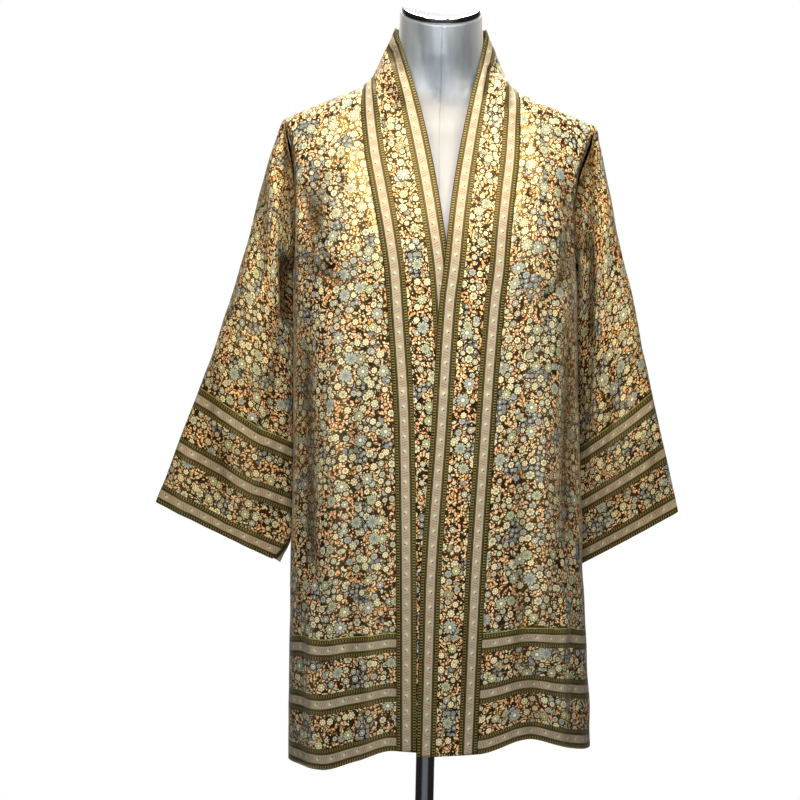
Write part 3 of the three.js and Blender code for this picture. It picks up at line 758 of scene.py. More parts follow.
    def pieces(self) -> list[ClothPiece]:
        """The body's three pieces with the sizes they were cut to."""
        return [
            ClothPiece("jacket_back", "back_panel", self.back(), (0.62, 0.92), 0.53),
            ClothPiece("jacket_right_front", "right_front_panel", self.front(Side.RIGHT), (0.26, 0.9), 0.2),
            ClothPiece("jacket_left_front", "left_front_panel", self.front(Side.LEFT), (0.26, 0.88), 0.19),
        ]


@dataclass
class Sleeves:
    """The two sleeves, flattened tubes between an outer fold and the underarm seam."""

    rows: int = 170
    columns: int = 150
    seam_stop: float = 0.012
    seam_dip: float = 0.9
    seam_width: float = 3.0
    arm_dip: float = 4.0
    arm_width: float = 13.0
    # arm_shade: depth in millimetres of painted shade along the armhole seam; it darkens the colour and does
    # not move the cloth
    arm_shade: float = 8.0
    top_hold: float = 12.0
    rippled: float = 0.9
    left_cut_at: float = 2300.0
    right_cut_at: float = 3100.0
    seed: int = 21
    face_turn: float = 0.4
    dip_turn: Pair = (0.25, 0.7)
    right: Rows = Rows(
        "along fold_x fold_y fold_z seam_x seam_y seam_z depth",
        [
            (0, 210, 0, 1379, 192, 0, 1180, 40), (0.065, 222, 2, 1345, 192.6, 6, 1168, 43),
            (0.189, 240, 6, 1280, 191.6, 16, 1137, 47), (0.337, 258, 10, 1201, 189.9, 24, 1095, 50),
            (0.597, 299, 12, 1065, 186.5, 30, 997, 48), (0.861, 347, 10, 929, 185.6, 30, 853, 30),
            (0.93, 359, 9, 894, 187, 28, 816, 22), (1, 372, 8, 858, 203, 22, 779, 15),
        ],
    )
    left: Rows = Rows(
        "along fold_x fold_y fold_z seam_x seam_y seam_z depth",
        [
            (0, 212, 0, 1379, 190, 0, 1180, 40), (0.065, 220, 1, 1345, 191.2, 6, 1168, 43),
            (0.189, 233, 2, 1283, 191.8, 17, 1137, 46), (0.337, 250, 2, 1206, 191.2, 31, 1095, 46),
            (0.597, 283, 0, 1070, 197, 46, 1000, 44), (0.861, 316, -4, 932, 196, 56, 857, 27),
            (1, 333, -6, 861, 197, 60, 776, 15),
        ],
    )
    right_front: tuple[Crease, ...] = creases(
        (-206, 1352, -198, 1130, 8, -5, -5, 0, 0.16), (-220, 1345, -212, 1150, 8, 2.4, -6),
        (-232, 1340, -222, 1110, 9, -4, -8), (-196, 1200, -196, 1090, 9, -12),
        (-250, 1230, -236, 960, 14, 4.5, -6), (-212, 1150, -226, 930, 10, -4, 6),
        (-292, 1080, -300, 860, 13, -3.5, -5), (-262, 1000, -272, 800, 11, 3.6, 6),
        (-282, 960, -286, 830, 8, -4.6, 3), (-330, 950, -340, 820, 12, 3, 2),
        (-236, 960, -246, 760, 12, 3, -3),
    )
    right_back: tuple[Crease, ...] = creases(
        (-214, 1340, -204, 1190, 8, -5.5, -4), (-236, 1300, -226, 1080, 11, 4.6, -7),
        (-252, 1180, -262, 930, 13, -4, 6), (-300, 1060, -316, 840, 14, 4.2, -5),
        (-226, 1090, -240, 800, 12, -3.6, 5),
    )
    left_front: tuple[Crease, ...] = creases(
        (207, 1355, 198, 1180, 9, -6, 5, 0, 0.16), (224, 1310, 216, 1130, 8, 2.6, 6),
        (206, 1240, 203, 1060, 7, -8, 2), (212, 1120, 208, 900, 8, -4.6, -3),
        (226, 1080, 222, 860, 9, 4.2, 3), (262, 1050, 240, 860, 12, 5.5, -8, -0.4),
        (246, 1060, 230, 880, 9, -5, -6), (296, 980, 300, 820, 12, -3.4, 3),
        (256, 1220, 262, 1040, 13, 3.6, 5),
    )
    left_back: tuple[Crease, ...] = creases(
        (212, 1340, 204, 1200, 8, -5.5, 4), (230, 1280, 224, 1060, 12, 4.2, 6),
        (250, 1150, 262, 900, 13, -4.2, -5), (290, 1020, 300, 830, 12, 3.8, 4),
        (224, 1080, 232, 800, 11, -3.4, -4),
    )

    def point(self, side: Side, along: Array, around: Array) -> Array:
        """A point of a sleeve's outer face.

        Between the fold and the seam the place follows the bent cosine of around, and the
        depth its bent sine. Near the armhole it is mixed into the armhole edge.

        Args:
            side: Left or right.
            along: 0 at the armhole and 1 at the cuff.
            around: 0 on the outer fold, positive over the front, pi at the underarm seam.

        Returns:
            Points, last axis x, y, z.
        """
        table = side.of(self.left, self.right)
        to_fold = (1 + bent(np.cos(around), SHAPE.sleeve_power)) / 2
        x, y, z = (blend(table.at(f"seam_{k}", along), table.at(f"fold_{k}", along), to_fold) for k in "xyz")
        y = y - table.at("depth", along) * bent(np.sin(around), SHAPE.sleeve_power)
        tube = np.stack([side.value * x, y, z], axis=-1)
        held = 1 - smoothstep(along, 0, SHAPE.sleeve_hold)
        return blend(tube, SHAPE.armhole(side, around + 0 * along), held[..., None])

    def fold_length(self, side: Side) -> float:
        """Length of a sleeve along its outer fold."""
        columns = side.of(self.left, self.right).columns
        return float(np.hypot(np.diff(columns["fold_x"]), np.diff(columns["fold_z"])).sum())

    def grid(self, side: Side) -> Grid:
        """One sleeve, from the cuff up to the armhole.

        Args:
            side: Left or right.

        Returns:
            The grid, with cloth coordinates: round from the outer fold, up from the cuff.
        """
        along = np.linspace(1, 0, self.rows)[:, None]
        limit = math.pi - self.seam_stop
        end = limit + 0 * along
        if side is Side.RIGHT:
            open_share = 1 - self.fold_length(side) * (1 - along) / SHAPE.slit_length
            end = limit - SHAPE.slit_opening * np.clip(open_share, 0, 1)
        share = np.linspace(0, 1, self.columns)[None, :]
        around = blend(*side.of((end, -limit), (-limit, end)), share)
        points = self.point(side, along + 0 * around, around)
        across = run_lengths(points, 1)
        fold = np.argmin(np.abs(around), axis=1)[:, None]
        from_fold = across - np.take_along_axis(across, fold, axis=1)
        up = run_lengths(points, 0)
        cloth = np.stack([from_fold + side.of(self.left_cut_at, self.right_cut_at), up], axis=-1)
        x, z = points[..., 0], points[..., 2]
        front, back = side.of((self.left_front, self.left_back), (self.right_front, self.right_back))
        to_front = smoothstep(np.sin(around), 0.0, self.face_turn)
        to_back = smoothstep(-np.sin(around), 0.0, self.face_turn)
        rise = rise_of(front, x, z) * to_front + rise_of(back, x, z) * to_back
        rise = rise + RIPPLE.rise(across, up, self.seed + side.value, self.rippled)
        from_top = up[-1:] - up
        rise = rise * smoothstep(from_top, 0, self.top_hold)
        rise = rise + edge_dip(from_top, self.seam_dip, self.seam_width)
        front_share = smoothstep(np.sin(around), *self.dip_turn)
        rise = rise + edge_dip(from_top, self.arm_dip, self.arm_width) * front_share
        # painted shade along the armhole seam, added to the fold shade only
        shaded = edge_dip(from_top, self.arm_shade, self.arm_width) * front_share
        return Grid(points, cloth).moved(rise, rise + shaded)

    def pieces(self) -> list[ClothPiece]:
        """The two sleeves with the sizes they were cut to."""
        return [
            ClothPiece("jacket_right_sleeve", "right_sleeve", self.grid(Side.RIGHT), (0.46, 0.56), 0.2),
            ClothPiece("jacket_left_sleeve", "left_sleeve", self.grid(Side.LEFT), (0.44, 0.56), 0.19),
        ]


@dataclass
class NeckBands:
    """The long band, in two halves: up each front edge and round the neck to the nape."""

    rows: int = 420
    columns: int = 30
    width: float = 84.0
    bow: float = 2.5
    nape_gap: float = 0.1
    left_cut_at: float = 585.0
    seed: int = 31
    lift_from: float = 0.95
    rippled: float = 0.5
    seam_hold: float = 10.0
    seam_dip: float = 0.7
    seam_width: float = 2.5
    right: Rows = Rows(
        "run x y z",
        [
            (0, 43, -134, 550), (0.2494, 39.5, -131.5, 747), (0.5186, 32.5, -129, 966),
            (0.7005, 20, -128.5, 1130), (0.7587, 14.3, -127.5, 1183), (0.8077, 5.5, -122, 1238),
            (0.8578, -4, -106, 1292), (0.9126, -17.5, -87, 1355), (0.9744, -34, -71, 1416),
            (1, -49, -45, 1462), (1.3, -61.5, 2, 1506), (1.55, -52, 39, 1509), (1.8, -27, 60, 1506),
            (2, 0, 66, 1504),
        ],
    )
    left: Rows = Rows(
        "run x y z",
        [
            (0, -13.7, -141, 547), (0.2494, -13.7, -139, 747), (0.5186, -4, -137, 966),
            (0.7005, 3, -136, 1130), (0.7587, 8.5, -134.5, 1181), (0.8077, 12.5, -128, 1230),
            (0.8578, 18, -110, 1280), (0.9126, 26.5, -89, 1336), (0.9744, 39.5, -71, 1404),
            (1, 51, -44, 1452), (1.3, 61.5, 2, 1506), (1.55, 52, 39, 1509), (1.8, 27, 60, 1506),
            (2, 0, 66, 1504),
        ],
    )
    right_creases: tuple[Crease, ...] = creases(
        (-70, 1021, 40, 1018, 4, -1.1, 1, 0, 0.12), (-70, 1010, 40, 1008, 6, 0.7, 0, 0, 0.12),
        (-66, 1482, -50, 1432, 6, -5, -2, 0, 0.2), (-84, 1428, -50, 1380, 8, -5, 3, 0, 0.2),
        (-98, 1420, -66, 1378, 6, 3, 3), (-30, 900, -26, 560, 9, 2, 3), (10, 860, 16, 540, 8, -2, -3),
    )
    left_creases: tuple[Crease, ...] = creases(
        (-10, 1020, 84, 1017, 4, -1.1, 1, 0, 0.12), (-10, 1008, 84, 1006, 6, 0.7, 0, 0, 0.12),
        (70, 1456, 60, 1398, 5, -6, -2, 0, 0.2), (100, 1432, 92, 1384, 6, -5, -3, 0, 0.2),
        (20, 900, 24, 560, 9, 2, 3), (50, 820, 46, 540, 8, -2, -3),
    )

    def seam_edge(self, side: Side, run: Array) -> Array:
        """The sewn edge: 0 to 1 up the front, 1 to 2 along the back neckline to the nape."""
        front_level = blend(SHAPE.hem_level, SHAPE.shoulder_level, np.minimum(run, 1))
        front = SHAPE.front_seam(side, front_level)
        front[..., 2] += SHAPE.neck_seam_lift * smoothstep(run, self.lift_from, 1)
        round_turn = np.clip(run - 1, 0, 1) * math.pi / 2
        back = SHAPE.back_seam(side.value * SHAPE.neck_half * np.cos(round_turn))
        return np.where((run <= 1)[..., None], front, back)

    def free_edge(self, side: Side, run: Array) -> Array:
        """The loose edge, from the table of its places."""
        table = side.of(self.left, self.right)
        return np.stack([table.at(name, run) for name in "xyz"], axis=-1)

    def grid(self, side: Side) -> Grid:
        """One half of the band, ruled between its two edges and bowed out by a half sine.

        Args:
            side: Left or right.

        Returns:
            The grid, with cloth coordinates: across from the loose edge, along from the hem.
        """
        run = np.linspace(0, 2, self.rows)
        seam, free = self.seam_edge(side, run), self.free_edge(side, run)
        seam[-1, 0] = free[-1, 0] = side.value * self.nape_gap
        from_free = np.linspace(*side.of((0, 1), (1, 0)), self.columns)
        from_seam = (1 - from_free) * self.width
        points = blend(free[:, None, :], seam[:, None, :], from_free[None, :, None])
        middle = run_lengths(points, 0)[:, self.columns // 2] + side.of(self.left_cut_at, 0)
        cloth = np.stack(np.broadcast_arrays(from_free[None, :] * self.width, middle[:, None]), axis=-1)
        rise = rise_of(side.of(self.left_creases, self.right_creases), points[..., 0], points[..., 2])
        rise = rise + RIPPLE.rise(cloth[..., 0], cloth[..., 1], self.seed + side.value, self.rippled)
        rise = rise * smoothstep(from_seam, 0, self.seam_hold)[None, :]
        # painted shade follows the folds and the seam dip, without the band's bow
        folds = rise + edge_dip(from_seam, self.seam_dip, self.seam_width)[None, :]
        return Grid(points, cloth).moved(folds + self.bow * np.sin(math.pi * from_free)[None, :], folds)

    def pieces(self) -> list[ClothPiece]:
        """The band's two halves with the sizes they were cut to."""
        return [
            ClothPiece("jacket_right_band", "right_neck_band", self.grid(Side.RIGHT), (0.084, 1.12)),
            ClothPiece("jacket_left_band", "left_neck_band", self.grid(Side.LEFT), (0.084, 1.11)),
        ]


# ---------------------------------------------------------------- shader building


def tint(code: str, alpha: float = 1.0) -> Colour:
    """A screen colour such as #c9c9a4 as linear light.

    Args:
        code: The colour in hexadecimal.
        alpha: Its opacity.

    Returns:
        Red, green, blue and alpha.
    """
    parts = [int(code[k : k + 2], 16) / 255 for k in (1, 3, 5)]
    linear = [p / 12.92 if p <= 0.04045 else ((p + 0.055) / 1.055) ** 2.4 for p in parts]
    return (linear[0], linear[1], linear[2], alpha)


class Graph:
    """Adds nodes to a shader tree, one call a node."""

    def __init__(self, tree: bpy.types.NodeTree) -> None:
        """Starts on a tree."""
        self.tree = tree

    def node(self, kind: str, **settings: object) -> bpy.types.Node:
        """A node of one kind with its settings."""
        made = self.tree.nodes.new(kind)
        for name, value in settings.items():
            setattr(made, name, value)
        return made

    def put(self, socket: Socket, value: Value) -> None:
        """Links a socket or sets its own value."""
        if isinstance(value, bpy.types.NodeSocket):
            self.tree.links.new(value, socket)
        else:
            socket.default_value = value

    def fill(self, node: bpy.types.Node, values: dict[str, Value]) -> None:
        """Links or sets several inputs of a node by name."""
        for name, value in values.items():
            self.put(node.inputs[name], value)

    def math(self, operation: str, a: Value, b: Value = 0.0, c: Value = 0.0) -> Socket:
        """One sum of numbers, such as DIVIDE or POWER."""
        made = self.node("ShaderNodeMath", operation=operation)
        for socket, value in zip(made.inputs, (a, b, c)):
            self.put(socket, value)
        return made.outputs[0]

    def times(self, a: Value, b: Value) -> Socket:
        """a times b."""
        return self.math("MULTIPLY", a, b)

    def plus(self, a: Value, b: Value) -> Socket:
        """a plus b."""
        return self.math("ADD", a, b)

    def minus(self, a: Value, b: Value) -> Socket:
        """a less b."""
        return self.math("SUBTRACT", a, b)

    def times_plus(self, a: Value, b: Value, c: Value) -> Socket:
        """a times b, plus c."""
        return self.math("MULTIPLY_ADD", a, b, c)

    def vector(self, operation: str, a: Value, b: Value = ORIGIN) -> Socket:
        """One sum of vectors; LENGTH and DOT_PRODUCT give a number."""
        made = self.node("ShaderNodeVectorMath", operation=operation)
        self.put(made.inputs[0], a)
        self.put(made.inputs[1], b)
        return made.outputs["Value" if operation in ("LENGTH", "DOT_PRODUCT") else "Vector"]

    def step(self, value: Value, low: Value, high: Value) -> Socket:
        """A soft step of value from 0 at low to 1 at high."""
        made = self.node("ShaderNodeMapRange", interpolation_type="SMOOTHSTEP")
        self.fill(made, {"Value": value, "From Min": low, "From Max": high})
        return made.outputs[0]

    def mix(self, share: Value, a: Value, b: Value, way: str = "MIX") -> Socket:
        """Colour a where share is 0, and b, or a times b for MULTIPLY, where it is 1."""
        made = self.node("ShaderNodeMix", data_type="RGBA", clamp_factor=True, blend_type=way)
        self.put(made.inputs[0], share)
        self.put(made.inputs[6], a)
        self.put(made.inputs[7], b)
        return made.outputs[2]

    def split(self, vector: Socket) -> bpy.types.NodeOutputs:
        """A vector's X, Y and Z."""
        made = self.node("ShaderNodeSeparateXYZ")
        self.put(made.inputs[0], vector)
        return made.outputs

    def join(self, x: Value, y: Value) -> Socket:
        """A flat vector from two numbers."""
        made = self.node("ShaderNodeCombineXYZ")
        self.put(made.inputs[0], x)
        self.put(made.inputs[1], y)
        return made.outputs[0]

    def noise(self, point: Socket, spacing: float, detail: float = 2.0) -> Socket:
        """Soft noise from 0 to 1 with patches of about spacing, in the point's unit."""
        made = self.node("ShaderNodeTexNoise")
        self.fill(made, {"Vector": point, "Scale": 1.0 / spacing, "Detail": detail})
        return made.outputs[0]

    def within(self, value: Socket, low: float, high: float, soft: float) -> Socket:
        """1 where value lies between low and high, with soft edges."""
        up = self.step(value, low - soft, low + soft)
        down = self.step(value, high - soft, high + soft)
        return self.minus(up, down)

    def bump(self, height: Socket, strength: float, distance: float = MM) -> Socket:
        """The normal of a relief whose height is in units of distance."""
        made = self.node("ShaderNodeBump")
        self.fill(made, {"Strength": strength, "Distance": distance, "Height": height})
        return made.outputs[0]

    def finish(self, kind: str, result: Socket) -> None:
        """Shows a shader as the tree's result; kind is Material or World."""
        self.put(self.node(f"ShaderNodeOutput{kind}").inputs["Surface"], result)


def emptied(owner: Union[bpy.types.Material, bpy.types.World]) -> Graph:
    """The graph of a new material or world, without the nodes it came with."""
    owner.use_nodes = True
    owner.node_tree.nodes.clear()
    return Graph(owner.node_tree)


class Group(Graph):
    """A node group with named inputs and outputs, built once and used in several materials."""

    def __init__(self, name: str, takes: dict[str, object], gives: dict[str, str]) -> None:
        """Makes the group's sockets.

        Args:
            name: Name of the group.
            takes: Input names, each with its default number or vector.
            gives: Output names, each with its kind: Float, Color or Vector.
        """
        super().__init__(bpy.data.node_groups.new(name, "ShaderNodeTree"))
        face = self.tree.interface
        for label, default in takes.items():
            kind = "NodeSocketVector" if isinstance(default, tuple) else "NodeSocketFloat"
            face.new_socket(label, in_out="INPUT", socket_type=kind).default_value = default
        for label, kind in gives.items():
            face.new_socket(label, in_out="OUTPUT", socket_type=f"NodeSocket{kind}")
        self.start = self.node("NodeGroupInput").outputs
        self.end = self.node("NodeGroupOutput").inputs

    def place(self, graph: Graph, **values: Value) -> bpy.types.NodeOutputs:
        """Places the group in another tree.

        Args:
            graph: Where it goes.
            values: Its inputs by name, with _ for a space.

        Returns:
            The outputs of the placed group.
        """
        made = graph.node("ShaderNodeGroup", node_tree=self.tree)
        graph.fill(made, {name.replace("_", " "): value for name, value in values.items()})
        return made.outputs

    def spots(self, scatter: Value) -> tuple[Socket, bpy.types.NodeOutputs]:
        """One spot in each cell of the group's Spacing; its random numbers go to Pick.

        Args:
            scatter: How far spots stand from a regular grid, 0 to 1.

        Returns:
            The way from the nearest spot to the Point, and the spot's three random numbers.
        """
        cells = self.node("ShaderNodeTexVoronoi", voronoi_dimensions="2D", feature="F1")
        scale = self.math("DIVIDE", 1.0, self.start["Spacing"])
        self.fill(cells, {"Vector": self.start["Point"], "Scale": scale, "Randomness": scatter})
        self.put(self.end["Pick"], cells.outputs["Color"])
        away = self.vector("SUBTRACT", self.start["Point"], cells.outputs["Position"])
        return away, self.split(cells.outputs["Color"])


FULL_TURN = 6.28


@dataclass(frozen=True)
class MotifEdges:
    """Soft limits and spreads of the flower heads and leaves, in millimetres or shares."""

    head: Pair = (-0.2, 0.25)
    round_head: Pair = (-1.7, -1.3)
    vein: Pair = (0.35, 0.1)
    vein_from: Pair = (0.3, 0.45)
    notch_power: float = 0.6
    more_petals: float = 3.0
    head_spread: Pair = (0.4, 0.8)
    leaf: Pair = (-0.15, 0.25)
    round_leaf: Pair = (-1.4, -1.0)
    leaf_spread: Pair = (0.5, 0.7)
    leaf_scatter: float = 0.9


EDGES = MotifEdges()


def flower_heads() -> Group:
    """Scattered flower heads: one in each cell, its rim a circle notched between the petals.

    The rim's radius is size times (1 - notch x (1 - |cos(petals x angle / 2)| ^ 0.6)), varied
    by a quarter from head to head.

    Returns:
        The group.
    """
    takes = {"Point": ORIGIN, "Spacing": 15.0, "Scatter": 0.8, "Size": 5.0, "Notch": 0.2, "Petals": 6.0}
    gives = {"Head": "Float", "Around": "Float", "Out": "Float", "Vein": "Float", "Pick": "Color"}
    g = Group("flower heads", takes, gives)
    local, pick = g.spots(g.start["Scatter"])
    flat = g.split(local)
    away = g.math("SQRT", g.plus(g.math("POWER", flat[0], 2.0), g.math("POWER", flat[1], 2.0)))
    angle = g.times_plus(pick[0], FULL_TURN, g.math("ARCTAN2", flat[1], flat[0]))
    petals = g.math("ROUND", g.times_plus(pick[1], EDGES.more_petals, g.start["Petals"]))
    wave = g.math("ABSOLUTE", g.math("COSINE", g.times(angle, g.times(petals, 0.5))))
    shallow = g.minus(1.0, g.math("POWER", wave, EDGES.notch_power))
    notch = g.minus(1.0, g.times(g.start["Notch"], shallow))
    size = g.times(g.start["Size"], g.times_plus(pick[2], *EDGES.head_spread))
    inside = g.minus(g.times(size, notch), away)
    out = g.math("DIVIDE", away, size)
    vein = g.times(g.step(wave, *EDGES.vein), g.step(out, *EDGES.vein_from))
    g.put(g.end["Head"], g.step(inside, *EDGES.head))
    g.put(g.end["Around"], g.step(inside, *EDGES.round_head))
    g.put(g.end["Out"], out)
    g.put(g.end["Vein"], vein)
    return g


def leaf_sprays() -> Group:
    """Scattered curved leaves: |y - bend x squared| under width x (1 - (x / length) squared).

    Returns:
        The group.
    """
    takes = {"Point": ORIGIN, "Spacing": 7.0, "Length": 5.0, "Width": 1.7, "Bend": 0.07}
    g = Group("leaf sprays", takes, {"Leaf": "Float", "Around": "Float", "Pick": "Color"})
    local, pick = g.spots(EDGES.leaf_scatter)
    rotated = g.node("ShaderNodeVectorRotate", rotation_type="Z_AXIS")
    g.fill(rotated, {"Vector": local, "Angle": g.times(pick[0], FULL_TURN)})
    flat = g.split(rotated.outputs[0])
    bend = g.times(g.start["Bend"], g.math("POWER", flat[0], 2.0))
    off = g.math("ABSOLUTE", g.minus(flat[1], bend))
    length = g.times(g.start["Length"], g.times_plus(pick[1], *EDGES.leaf_spread))
    taper = g.minus(1.0, g.math("POWER", g.math("DIVIDE", flat[0], length), 2.0))
    inside = g.minus(g.times(g.start["Width"], taper), off)
    g.put(g.end["Leaf"], g.step(inside, *EDGES.leaf))
    g.put(g.end["Around"], g.step(inside, *EDGES.round_leaf))
    return g


@dataclass(frozen=True)
class PrintInks:
    """The print's colours."""

    ground: str = "#130a09"
    ground_worn: str = "#1e120d"
    sage: str = "#c3c29e"
    pale_green: str = "#adb487"
    grey_blue: str = "#959f9e"
    slate: str = "#68747a"
    peach: str = "#d9ae87"
    orange: str = "#bc8b50"
    cream: str = "#e6daae"
    guard: str = "#0d0a07"
    guard_line: str = "#7d7547"
    beige: str = "#85827c"
    pinkish: str = "#845a3c"
    dot: str = "#bdb595"
    speck: str = "#232b26"
    border_end: str = "#8f944c"


@dataclass(frozen=True)
class HeadLayer:
    """One layer of flower heads: where its cells start, its sizes and its two inks.

    The share absent of the heads is left out, and a clustered layer stays in its patches.
    """

    start: Triple
    spacing: float
    scatter: float
    size: float
    notch: float
    petals: float
    inks: tuple[str, str]
    absent: float
    clustered: bool = False


@dataclass(frozen=True)
class LeafLayer:
    """One layer of leaves: where its cells start and its sizes."""

    start: Triple
    spacing: float
    length: float
    width: float


HEAD_LAYERS = (
    HeadLayer((5.0, 211.0, 0.0), 7.0, 0.5, 3.1, 0.16, 5.0, ("grey_blue", "slate"), 0.0, clustered=True),
    HeadLayer((83.0, 19.0, 0.0), 12.0, 0.9, 3.9, 0.24, 5.0, ("sage", "grey_blue"), 0.46),
    HeadLayer((0.0, 47.0, 0.0), 16.0, 0.95, 4.6, 0.32, 5.0, ("cream", "sage"), 0.45),
    HeadLayer((29.0, 3.0, 0.0), 27.0, 0.9, 7.2, 0.55, 8.0, ("pale_green", "grey_blue"), 0.5),
)
LEAF_LAYERS = (
    LeafLayer((17.0, 17.0 * 2.3, 0.0), 6.6, 3.7, 1.75),
    LeafLayer((141.0, 141.0 * 2.3, 0.0), 9.2, 4.8, 2.1),
    LeafLayer((67.0, 67.0 * 2.3, 0.0), 7.6, 3.9, 1.7),
)


@dataclass(frozen=True)
class FloralSizes:
    """The small floral's patches in millimetres, and the soft limits of what shows in them."""

    worn_patch: float = 30.0
    worn: float = 0.6
    open_patch: float = 7.5
    open_ground: Pair = (0.42, 0.46)
    warm_leaves: Pair = (0.82, 0.84)
    missing_leaves: Pair = (0.06, 0.08)
    dot_start: Triple = (61.0, 7.0, 0.0)
    dot_spacing: float = 4.3
    dot_size: float = 0.95
    missing_dots: Pair = (0.55, 0.6)
    cluster_start: Triple = (300.0, 90.0, 0.0)
    cluster_patch: float = 30.0
    cluster_limit: Pair = (0.62, 0.64)
    ring: Pair = (0.28, 0.46)
    ring_strength: float = 0.75
    heart: Pair = (0.3, 0.2)
    dark_hearts: Pair = (0.4, 0.42)


def small_floral(inks: PrintInks, sizes: FloralSizes, heads: Group, leaves: Group) -> Group:
    """The all-over small floral: leaves, dots, clusters, rosettes and daisies on dark ground.

    Args:
        inks: The colours.
        sizes: The patches and limits.
        heads: The flower head group.
        leaves: The leaf group.

    Returns:
        The group, from a point of the cloth in millimetres to its colour.
    """
    g = Group("small floral", {"Point": ORIGIN}, {"Color": "Color"})
    point = g.start["Point"]
    worn = g.noise(point, sizes.worn_patch)
    colour = g.mix(g.times(worn, sizes.worn), tint(inks.ground), tint(inks.ground_worn))
    open_ground = g.step(g.noise(point, sizes.open_patch, 1.0), *sizes.open_ground)
    for layer in LEAF_LAYERS:
        moved = g.vector("ADD", point, layer.start)
        leaf = leaves.place(g, Point=moved, Spacing=layer.spacing, Length=layer.length, Width=layer.width)
        pick = g.split(leaf["Pick"])
        warm = g.mix(g.math("POWER", pick[1], 2.0), tint(inks.peach), tint(inks.orange))
        ink = g.mix(g.step(pick[2], *sizes.warm_leaves), warm, tint(inks.sage))
        shown = g.times(g.step(pick[2], *sizes.missing_leaves), open_ground)
        colour = g.mix(g.times(leaf["Around"], shown), colour, tint(inks.ground))
        colour = g.mix(g.times(leaf["Leaf"], shown), colour, ink)
    moved = g.vector("ADD", point, sizes.dot_start)
    dots = heads.place(g, Point=moved, Spacing=sizes.dot_spacing, Size=sizes.dot_size, Notch=0.0)
    dot_shown = g.step(g.split(dots["Pick"])[0], *sizes.missing_dots)
    colour = g.mix(g.times(dots["Head"], dot_shown), colour, tint(inks.cream))
    moved = g.vector("ADD", point, sizes.cluster_start)
    cluster = g.step(g.noise(moved, sizes.cluster_patch, 0.0), *sizes.cluster_limit)
    for layer in HEAD_LAYERS:
        moved = g.vector("ADD", point, layer.start)
        shape = {"Size": layer.size, "Notch": layer.notch, "Petals": layer.petals}
        head = heads.place(g, Point=moved, Spacing=layer.spacing, Scatter=layer.scatter, **shape)
        pick = g.split(head["Pick"])
        region = cluster if layer.clustered else 1.0
        shown = g.times(region, g.step(pick[1], layer.absent, layer.absent + 0.02))
        first, second = (tint(getattr(inks, name)) for name in layer.inks)
        ink = g.mix(head["Vein"], g.mix(pick[2], first, second), tint(inks.ground_worn))
        ring = g.times(g.within(head["Out"], *sizes.ring, 0.05), sizes.ring_strength)
        ink = g.mix(ring, ink, tint(inks.slate))
        heart = g.mix(g.step(pick[0], *sizes.dark_hearts), tint(inks.slate), tint(inks.cream))
        ink = g.mix(g.step(head["Out"], *sizes.heart), ink, heart)
        colour = g.mix(g.times(head["Around"], shown), colour, tint(inks.ground))
        colour = g.mix(g.times(head["Head"], shown), colour, ink)
    g.put(g.end["Color"], colour)
    return g


@dataclass(frozen=True)
class StripeSizes:
    """A border stripe, across: guard, beige strip and guard, in millimetres."""

    guard: float = 7.8
    total: float = 26.4
    outer_line: Pair = (0.9, 1.4)
    inner_line: Pair = (6.3, 6.8)
    ladder: Pair = (1.4, 4.9)
    ladder_line: Pair = (4.4, 4.9)
    line_strength: float = 0.6
    mark_strength: float = 0.9
    rung_spacing: float = 3.6
    rung_half: float = 0.72
    flowers: float = 19.5
    bar_spacing: float = 3.3
    bar_slant: float = 0.35
    bar_reach: float = 3.8
    bar_strength: float = 0.72
    dot: Pair = (2.3, 1.7)
    speck: Pair = (1.2, 0.7)
    speck_across: float = 1.4
    speck_along: float = 1.6
    bare_strip: Pair = (0.0, 5.0)
    bare_patch: float = 9.0
    bare_limit: Pair = (0.5, 0.56)
    end_line: Pair = (0.2, 1.4)
    soft: float = 0.2


